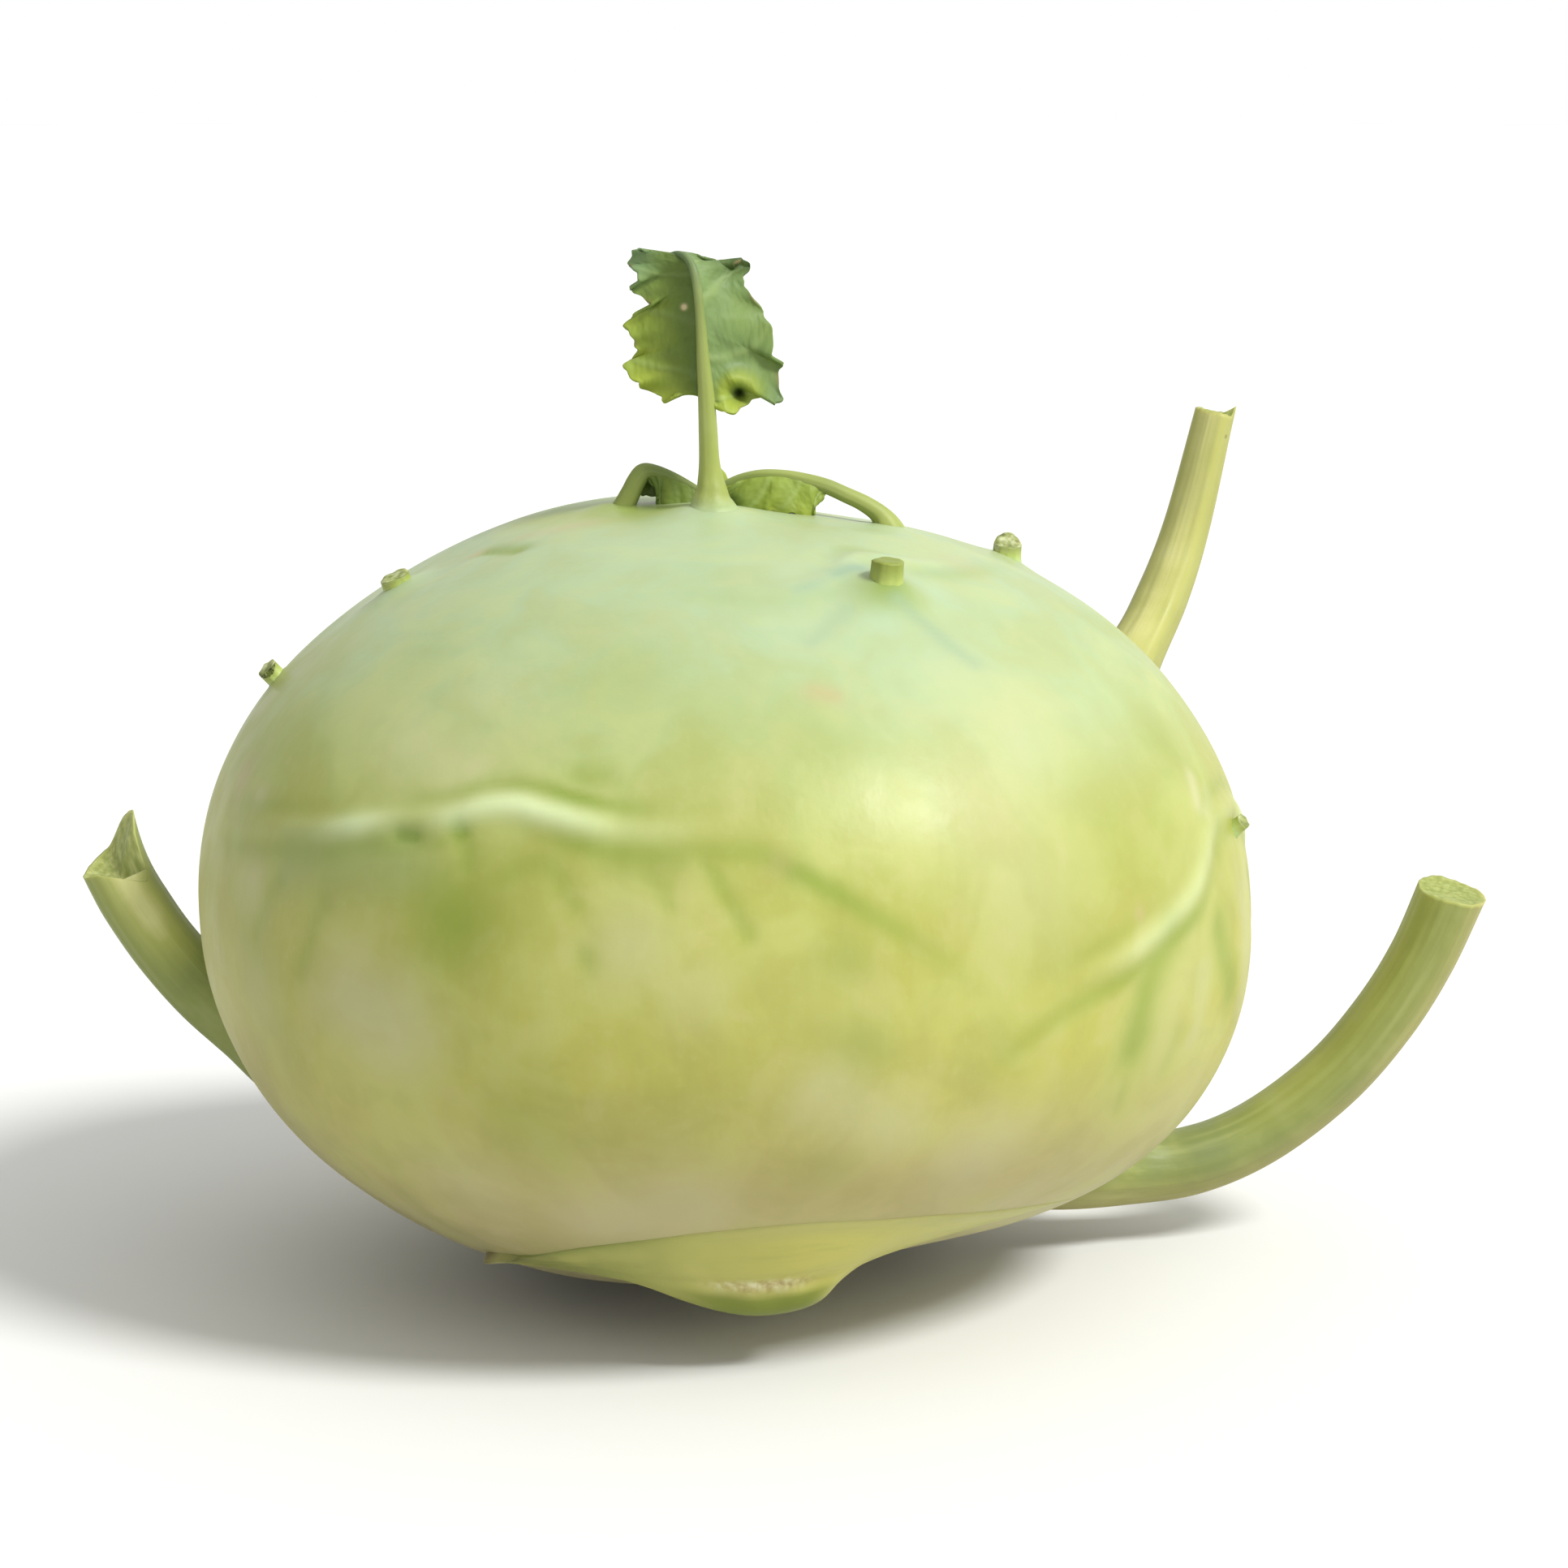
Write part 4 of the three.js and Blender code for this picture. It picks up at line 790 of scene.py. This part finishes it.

# Young leaves. The blade's halves hang from its rib. A margin point is x, y and z, then how yellow, how waxy
# and how much painted shade darkens the leaf there, in its folds and curls and where shadow falls on it.
# The rib's own paint comes first for each half.
leaves = {
    "leaf_center": {
        "stem": [(-1.8, -8, 68.9), (-1.8, -7.9, 69.9), (-1.8, -7.8, 70.5), (-1.85, -7.7, 71.1),
                 (-1.9, -7.65, 71.8), (-1.9, -7.6, 72.6), (-2, -7.5, 73.8), (-2.1, -7.5, 75.4),
                 (-2.2, -7.5, 78), (-2.35, -7.5, 81), (-2.6, -7.55, 84), (-2.8, -7.6, 87.2),
                 (-3.05, -7.5, 90), (-3.4, -7.2, 91.8), (-4, -6.4, 92.8), (-4.8, -5.2, 93.1),
                 (-5.6, -4, 92.9)],
        "widths": [6.6, 5.8, 5.1, 4.3, 3.5, 2.8, 2.2, 1.8, 1.65, 1.45, 1.15, 0.9, 0.8, 0.75, 0.7, 0.6, 0.5],
        "rib": [(-2.35, -7.3, 80.2), (-2.45, -7.3, 82), (-2.65, -7.4, 84.6), (-2.8, -7.45, 87.2),
                (-3.05, -7.35, 90), (-3.4, -7, 91.8), (-4, -6.3, 92.7), (-4.8, -5.1, 93),
                (-5.6, -3.9, 92.8)],
        "left": {"paint": (0.25, 0, 0.7), "margin": [
            (-2.7, -7.2, 81.3, 0.3, 0, 0.5), (-4.1, -6.8, 81.1, 0.7, 0, 0.1), (-5.3, -6.4, 80.8, 0.8, 0, 0),
            (-6.1, -6.2, 80.2, 0.9, 0, 0), (-6.7, -5.9, 80.7, 0.9, 0, 0), (-8.2, -5.7, 81.4, 0.9, 0, 0),
            (-8.8, -5.5, 82, 1, 0, 0), (-9.9, -5.3, 83.1, 0.7, 0.2, 0), (-9, -5.2, 83.8, 0.9, 0, 0),
            (-8.7, -5.1, 84.8, 0.7, 0, 0.1), (-9.1, -5, 85.8, 0.6, 0, 0.1), (-9.7, -4.9, 86.6, 0.7, 0, 0),
            (-9, -4.9, 87.6, 0.5, 0.1, 0), (-7.6, -5.1, 88.4, 0.4, 0.2, 0.2),
            (-7.4, -5.2, 88.8, 0.4, 0.2, 0.3), (-8.7, -4.9, 89.5, 0.3, 0.4, 0),
            (-9.2, -4.7, 90, 0.1, 0.6, 0), (-8.4, -4.9, 90.8, 0.1, 0.6, 0.1), (-8.8, -4.7, 91.6, 0, 0.8, 0),
            (-9.3, -4.6, 92.1, 0, 0.8, 0), (-9, -4.4, 93.2, 0, 0.9, 0.3), (-8.4, -4.3, 93.5, 0, 0.8, 0.3),
            (-7.2, -4.4, 93.1, 0, 0.5, 0.4), (-5.8, -5, 93.2, 0, 0.3, 0.4)]},
        "right": {"paint": (0.2, 0.65, 0.12), "margin": [
            (-2, -7.4, 80.6, 0.6, 0.3, 0), (-1.2, -7.2, 79.7, 1, 0, 0), (0.1, -6.8, 79.3, 1, 0, 0),
            (1.1, -6.2, 79.8, 0.8, 0, 0.18), (1.9, -5.9, 80.4, 0.5, 0, 0.3), (3, -5.7, 80.6, 0.2, 0.2, 0.3),
            (3.9, -5.6, 79.9, 0.1, 0.5, 0.3), (4.5, -5.5, 80.3, 0, 0.5, 0.36),
            (4.1, -5.5, 81.9, 0.1, 0.4, 0.3), (4.5, -5.4, 83.3, 0.1, 0.3, 0.3),
            (3.7, -5.5, 84.2, 0.1, 0.4, 0.24), (3.7, -5.4, 86.2, 0.2, 0.3, 0.18),
            (3.1, -5.3, 87.3, 0.2, 0.4, 0.18), (2.4, -5.2, 88.6, 0.2, 0.4, 0.18),
            (1.5, -5, 89.8, 0.1, 0.5, 0.18), (1, -4.8, 90.7, 0, 0.5, 0.24), (1.3, -4.4, 91.4, 0, 0.4, 0.8),
            (1.7, -4, 92, 0, 0.3, 1), (1, -3.9, 92.6, 0, 0.3, 1), (0.5, -4.1, 92.3, 0, 0.3, 0.9),
            (0.1, -4.3, 91.8, 0, 0.3, 0.8), (-0.5, -4.4, 91.9, 0, 0.4, 0.7),
            (-1.4, -4.4, 92.4, 0, 0.5, 0.6), (-2.3, -4.4, 92.7, 0, 0.5, 0.5), (-3.2, -4.3, 93, 0, 0.5, 0.4),
            (-4.1, -4, 93.1, 0, 0.4, 0.3), (-4.9, -3.8, 93.1, 0, 0.3, 0.3),
            (-5.6, -3.6, 93.1, 0, 0.3, 0.4)]},
        "side": (1, 0, 0), "ridged": 0.005, "fold": 1, "wave": 0.5, "waves": 6.2, "teeth": 23, "bite": 0.06,
        "veins": 4.4, "cells": (88, 150), "curled": (0.5, 81), "fleck": (-4.2, 88.6),
        "stemTones": (0.55, 0.5, 0.5, 0.38, 0.03, 0), "footTop": 72.6,
    },
    "leaf_left": {
        "stem": [(-10.9, -3.2, 67.4), (-10.5, -3.1, 69), (-9.9, -3.05, 70.4), (-9.2, -3, 71.8),
                 (-8.6, -2.9, 73), (-8, -2.8, 73.7), (-7, -2.7, 73.75), (-5.6, -2.6, 73.3),
                 (-4.2, -2.5, 72.6), (-3, -2.5, 71.9)],
        "widths": [4.6, 3.2, 2.1, 1.8, 1.7, 1.6, 1.2, 0.95, 0.8, 0.7],
        "rib": [(-7.9, -2.9, 73.8), (-7, -2.8, 74), (-6, -2.7, 73.7), (-5, -2.6, 73.2), (-4, -2.5, 72.7),
                (-3.1, -2.5, 72)],
        "left": {"paint": (0.35, 0, 0.3), "margin": [
            (-7.5, -3, 72.8, 0.2, 0, 0.6), (-6.8, -3.1, 71.8, 0.1, 0, 0.6), (-6.8, -3.2, 70.7, 0.2, 0, 0.5),
            (-6.5, -3.3, 69.8, 0.4, 0, 0.4), (-5.2, -3.3, 69.3, 0.4, 0, 0.3),
            (-4.2, -3.2, 69.3, 0.3, 0, 0.5), (-3.2, -3, 70.3, 0.2, 0, 0.8)]},
        "right": {"paint": (0.1, 0, 0.8), "margin": [
            (-8.2, -2.4, 73.2, 0, 0, 0.7), (-8.5, -2, 72.3, 0, 0, 0.5), (-8.3, -1.8, 71.5, 0, 0, 0.4),
            (-7, -1.7, 71.3, 0, 0, 0.5), (-5.6, -1.6, 70.4, 0, 0, 0.8), (-3.4, -1.6, 70.2, 0, 0, 0.9)]},
        "side": (0, -1, 0), "ridged": 0.015, "fold": 0.6, "wave": 0.14, "waves": 2.4, "teeth": 7,
        "bite": 0.06, "veins": 3, "cells": (56, 70), "stemTones": (0.4, 0.28, 0.2, 0.2), "footTop": 70.9,
    },
    "leaf_right": {
        "stem": [(14.1, -3.2, 66.8), (13.7, -3.1, 68.7), (13, -3, 69.9), (11.6, -2.95, 70.9),
                 (9.9, -2.9, 71.7), (8.3, -2.8, 72.4), (6.6, -2.7, 72.9), (4.6, -2.6, 73.3),
                 (2.6, -2.5, 73.4), (0.8, -2.4, 73.1), (-0.8, -2.4, 72.5)],
        "widths": [4.2, 2.8, 1.8, 1.5, 1.4, 1.35, 1.25, 1.1, 1, 0.9, 0.8],
        "rib": [(8.4, -2.9, 72.1), (7, -2.9, 72.8), (5.4, -2.8, 73.2), (3.8, -2.75, 73.35),
                (2.2, -2.7, 73.25), (0.6, -2.6, 72.9), (-0.9, -2.5, 72.3)],
        "left": {"paint": (0.3, 0, 0.3), "margin": [
            (7.7, -2.2, 71.3, 0.5, 0, 0), (7.2, -2, 70.4, 0.5, 0, 0), (5.4, -1.7, 70.4, 0.5, 0, 0.2),
            (3.2, -1.6, 70.3, 0.4, 0, 0.3), (1, -1.7, 70.3, 0.2, 0, 0.6), (-0.7, -2, 71.4, 0.1, 0, 0.8)]},
        "right": {"paint": (0.55, 0.05, 0), "margin": [
            (7.8, -3.1, 71.2, 0.7, 0.1, 0), (7.15, -3.4, 70.6, 0.6, 0.1, 0), (7.1, -3.7, 69.7, 0.7, 0, 0),
            (6.2, -3.9, 69.6, 0.8, 0, 0), (5.1, -3.9, 70, 0.7, 0, 0.2), (3.3, -4, 70, 0.8, 0, 0.1),
            (2.6, -4, 69.3, 0.7, 0, 0.1), (0.9, -3.8, 69.3, 0.5, 0, 0.4), (0.1, -3.4, 70.2, 0.3, 0, 0.7),
            (-0.5, -3, 71.2, 0.4, 0, 0.8), (-0.9, -2.7, 72, 0.4, 0, 0.9)]},
        "side": (0, 1, 0), "ridged": 0.015, "fold": 0.6, "wave": 0.2, "waves": 3.3, "teeth": 11,
        "bite": 0.09, "veins": 3.6, "cells": (56, 90), "stemTones": (0.5, 0.42, 0.35, 0.3, 0.2),
        "footTop": 69.2,
    },
}
leafShape = {
    "thickness": 0.3, "stemSides": 40, "stemSteps": 150, "veinRise": 0.1, "veinWidth": 0.28, "quilt": 0.2,
    "veinSlope": 0.2, "fleckSize": 0.22,
    "pocket": 1.3, "pocketSize": 0.5,  # a hole in the blade
    "roll": 0.7, "rollAt": 1.35, "rollSize": 0.9,  # and its rolled edge
    "fine": (0.3, 2.3),  # a finer wave on the margin: its height and number, as shares of the wave's
    "dry": 0.6, "dryEdge": 0.05, "dryAt": 0.85,  # dry brown flecks on the margin
}


# Young leaf: thin green tissue, yellow where it is tender and blue-grey where its wax is whole, quilted
# between raised veins. Painted shade darkens it in its folds, curls and pocket, and where shadow falls on
# it.
def leafMaterial():
    made, tree, shader = newMaterial("youngLeafTissue")
    flat = (addNode(tree, "Attribute", {}, attribute_name="flat"), "Vector")
    cloud, grain, crinkle = (
        addNode(tree, "TexNoise", {"Vector": flat, "Scale": perMetre(size), "Detail": detail})
        for size, detail in ((3, 4), (0.5, 3), (1.8, 2)))
    body = addNode(tree, "ValToRGB", {"Fac": cloud}, [(0.3, "#566b28"), (0.5, "#647b30"), (0.7, "#728838")])
    # the dark green layer is painted shade
    colour = layered(tree, body, [
        (grain, 0.5, 0.8, 0.25, "#7d9348"), ("young", 0, 1, 1, "#8d9b36"), ("bloom", 0, 1, 1, "#728b62"),
        ("vein", 0, 1, 0.3, "#93a565"), ("dark", 0, 1, 1, "#384c1c"), ("dry", 0, 1, 0.9, "#75603e"),
        ("fleck", 0, 0.5, 1, "#b5a680")])
    rough = addNode(tree, "MapRange", {
        "Value": cloud, "From Min": 0.3, "From Max": 0.7, "To Min": 0.48, "To Max": 0.64})
    fine = addNode(tree, "Bump", {"Height": grain, "Strength": 0.3, "Distance": 0.0001})
    folds = addNode(tree, "Bump", {"Height": crinkle, "Strength": 0.8, "Distance": 0.0006, "Normal": fine})
    setInputs(tree, shader, {
        "IOR": 1.42, "Specular IOR Level": 0.35, "Subsurface Weight": 0.12, "Subsurface Scale": 0.0006,
        "Subsurface Radius": (0.7, 1, 0.2), "Base Color": colour, "Roughness": rough, "Normal": folds})
    return made


leafFinish = leafMaterial()


def makeBlade(name, spec):
    bm = sheetOf(*spec["cells"])
    unitAt = unitPoints(bm)
    u, v = unitAt[:, 0], unitAt[:, 1]
    far, onLeft = np.abs(u), u < 0
    rib = follow(spec["rib"], v)
    margin = np.where(onLeft[:, None], follow(spec["left"]["margin"], v), follow(spec["right"]["margin"], v))
    paint = np.where(onLeft[:, None], spec["left"]["paint"], spec["right"]["paint"])
    paint = np.clip(paint + (margin[:, 3:] - paint) * ease(far)[:, None], 0, 1)
    reach = margin[:, :3] - rib
    length = lengthOf(spec["rib"], 40)
    wide = np.linalg.norm(reach, axis=1)
    teeth = math.pi * spec["teeth"] * v
    tooth = 0.5 - 0.3 * np.cos(2 * teeth + u) - 0.2 * np.cos(1.27 * teeth)
    across = far * (1 - spec["bite"] * far**4 * tooth)
    # Side veins leave the rib on alternate sides and run out and up, and the blade swells between them.
    phase = (v - leafShape["veinSlope"] * far + np.where(onLeft, 0.35, 0) / spec["veins"]) * spec["veins"]
    offVein = (phase - np.round(phase)) / spec["veins"] * length
    vein = bump(offVein, leafShape["veinWidth"] * (1.15 - 0.6 * far))
    vein = vein * ease((1.05 - far) / 0.3) * ease(far / 0.06)
    depth = leafShape["quilt"] * np.cos(2 * math.pi * phase) * far * (1 - far) * 3
    depth -= leafShape["veinRise"] * vein
    waves = 2 * math.pi * spec["waves"] * v
    height, number = leafShape["fine"]
    depth += spec["wave"] * u**2 * np.sin(waves + np.where(onLeft, 0.7, 2.4))
    depth += height * spec["wave"] * far**4 * np.sin(number * waves + 4 * u)
    points = rib + reach * across[:, None]
    points[:, 1] = rib[:, 1] + reach[:, 1] * np.sin(across * math.pi / 2) ** spec["fold"] + depth
    young, bloom, dark = paint.T
    fleck = 0 * u
    if "curled" in spec:
        off = np.hypot(points[:, 0] - spec["curled"][0], points[:, 2] - spec["curled"][1])
        hole = bump(off, leafShape["pocketSize"])
        rolled = bump(off - leafShape["rollAt"], leafShape["rollSize"])
        points[:, 1] += leafShape["pocket"] * hole - leafShape["roll"] * rolled
        # the pocket is darkened with painted shade
        dark = np.maximum(dark, 0.85 * ease(hole / 0.6))
        young = np.maximum(young, rolled)
        bloom = bloom * (1 - young)
        off = np.hypot(points[:, 0] - spec["fleck"][0], points[:, 2] - spec["fleck"][1])
        fleck = bump(off, leafShape["fleckSize"])
    dry = ease((np.sin(31 * v + 5 * u) - leafShape["dryAt"]) / (1 - leafShape["dryAt"]))
    marks = {
        "flat": np.stack([u * wide, v * length, 0 * u], -1) * mm,
        "vein": vein, "young": young, "bloom": bloom, "dark": dark, "fleck": fleck,
        "dry": leafShape["dry"] * bump(far - 1, leafShape["dryEdge"]) * dry,
    }
    piece = newPiece(name + "_blade", bm, points, marks, leafFinish, name)
    solid = piece.modifiers.new("thickness", "SOLIDIFY")
    solid.thickness = leafShape["thickness"] * mm
    solid.offset = 0


def makeLeafStem(name, spec):
    bm = tube(leafShape["stemSides"], leafShape["stemSteps"], (0.6, 0.3))
    t, spoke, angle = tubePlaces(bm)
    at, along, across, inner = routeFrame(spec["stem"], np.array(spec["side"], float), t)
    half = follow(np.array(spec["widths"])[:, None], t)[:, 0] / 2 * spoke
    half = half * (1 + spec["ridged"] * np.sin(9 * angle + 1))
    x, y = half * np.cos(angle), half * np.sin(angle)
    points = at + x[:, None] * across + y[:, None] * inner
    marks = {
        "straight": np.stack([x, y, t * lengthOf(spec["stem"], 60)], -1) * mm,
        "tone": np.interp(t, np.linspace(0, 1, len(spec["stemTones"])), spec["stemTones"]),
        "cutFace": 0 * x, "warm": 0 * x, "foot": ease((spec["footTop"] - points[:, 2]) / 2.2),
    }
    newPiece(name + "_stem", bm, points, marks, stalkFinish, name)


for leafName, leafSpec in leaves.items():
    makeBlade(leafName, leafSpec)
    makeLeafStem(leafName, leafSpec)
print("leaves", len(leaves))

# The growing tip: small pointed scales that lean together.
bud = {
    "x": -1.6, "y": 3.6, "scales": 4, "radius": 1.15, "height": 3.4, "spread": 0.85, "foot": 70.2,
    "outline": [(0, 0), (0.9, 0.12), (1, 0.4), (0.55, 0.8), (0, 1)],
    "turn": 137.5, "shorter": 0.12, "lean": 0.16, "flatness": 0.8, "ribbed": 0.04, "young": 0.8,
}


def makeBud():
    made, places, flat = bmesh.new(), [], []
    radii, heights = np.array(bud["outline"]).T
    for i in range(bud["scales"]):
        ball = bmesh.new()
        bmesh.ops.create_uvsphere(ball, u_segments=32, v_segments=24, radius=1)
        ways = unitPoints(ball)
        up = (ways[:, 2] + 1) / 2
        ribbed = 1 + bud["ribbed"] * np.sin(7 * np.arctan2(ways[:, 1], ways[:, 0]))
        ring = unit(ways[:, :2] + 1e-9) * (bud["radius"] * np.interp(up, heights, radii) * ribbed)[:, None]
        turn, out = math.radians(bud["turn"] * i), bud["spread"] * (1 if i else 0.2)
        tall = up * bud["height"] * (1 - bud["shorter"] * i)
        x = ring[:, 0] + (bud["lean"] * tall if i else 0)
        y = ring[:, 1] * bud["flatness"]
        c, s = math.cos(turn + math.pi), math.sin(turn + math.pi)
        places.append(np.stack([x * c - y * s + bud["x"] + out * math.cos(turn),
                                x * s + y * c + bud["y"] + out * math.sin(turn), tall + bud["foot"]], -1))
        flat.append(ways * mm)
        addTo(made, ball)
    flat = np.concatenate(flat)
    marks = {"flat": flat, "young": bud["young"] + 0 * flat[:, 0]}
    for mark in ("vein", "bloom", "dark", "dry", "fleck"):
        marks[mark] = 0 * flat[:, 0]
    newPiece("bud_scales", made, np.concatenate(places), marks, leafFinish, "crown_bud")
    print("bud scales", bud["scales"])


makeBud()

# Camera, light and floor

view = {
    "target": (4.474, 0, 45.03), "distance": 400, "elevation": 10, "millimetresPerPixel": 0.0736,
    "picture": 1932, "sensor": 36,
}
light = {
    "energy": 3.6, "spread": 16, "from": (0.585, -0.372, 0.719),
    "dimTo": "#8a8b93", "dimLeft": (-0.2, -1), "dimAbove": (0.02, 0.2),  # the white room dims up on the left
}
floorShape = {"radius": 4, "sides": 96, "colour": "#d2d2cf", "roughness": 0.9}


def makeView():
    up = math.radians(view["elevation"])
    target = Vector(view["target"]) * mm
    camera = newObject("camera", bpy.data.cameras.new("camera"))
    camera.location = target + Vector((0, -math.cos(up), math.sin(up))) * view["distance"] * mm
    camera.rotation_euler = (math.pi / 2 - up, 0, 0)
    camera.data.sensor_width = view["sensor"]
    camera.data.lens = view["sensor"] * view["distance"] / (view["millimetresPerPixel"] * view["picture"])
    camera.data.clip_start = 0.01
    bpy.context.scene.camera = camera


def makeLight():
    key = newObject("key", bpy.data.lights.new("key", "SUN"))
    key.data.energy = light["energy"]
    key.data.angle = math.radians(light["spread"])
    key.rotation_euler = Vector(light["from"]).to_track_quat("Z", "Y").to_euler()
    world = bpy.data.worlds.new("studio")
    world.use_nodes = True
    tree = world.node_tree
    way = addNode(tree, "SeparateXYZ", {"Vector": (addNode(tree, "TexCoord", {}), "Generated")})
    left, above = (
        addNode(tree, "MapRange", {"Value": (way, axis), "From Min": start, "From Max": full})
        for axis, (start, full) in (("X", light["dimLeft"]), ("Z", light["dimAbove"])))
    away = addNode(tree, "Math", {0: left, 1: above}, operation="MULTIPLY")
    room = layered(tree, (1, 1, 1, 1), [(away, 0, 1, 1, light["dimTo"])])
    setInputs(tree, tree.nodes["Background"], {"Color": room})
    bpy.context.scene.world = world
    bpy.context.scene.view_settings.view_transform = "Standard"


def makeFloor():
    made, tree, shader = newMaterial("matteFloor")
    setInputs(tree, shader, {
        "Base Color": linear(floorShape["colour"]), "Roughness": floorShape["roughness"]})
    bm = bmesh.new()
    bmesh.ops.create_circle(bm, cap_ends=True, segments=floorShape["sides"], radius=floorShape["radius"])
    mesh = bpy.data.meshes.new("floor")
    bm.to_mesh(mesh)
    bm.free()
    mesh.materials.append(made)
    newObject("floor", mesh)


makeView()
makeLight()
makeFloor()
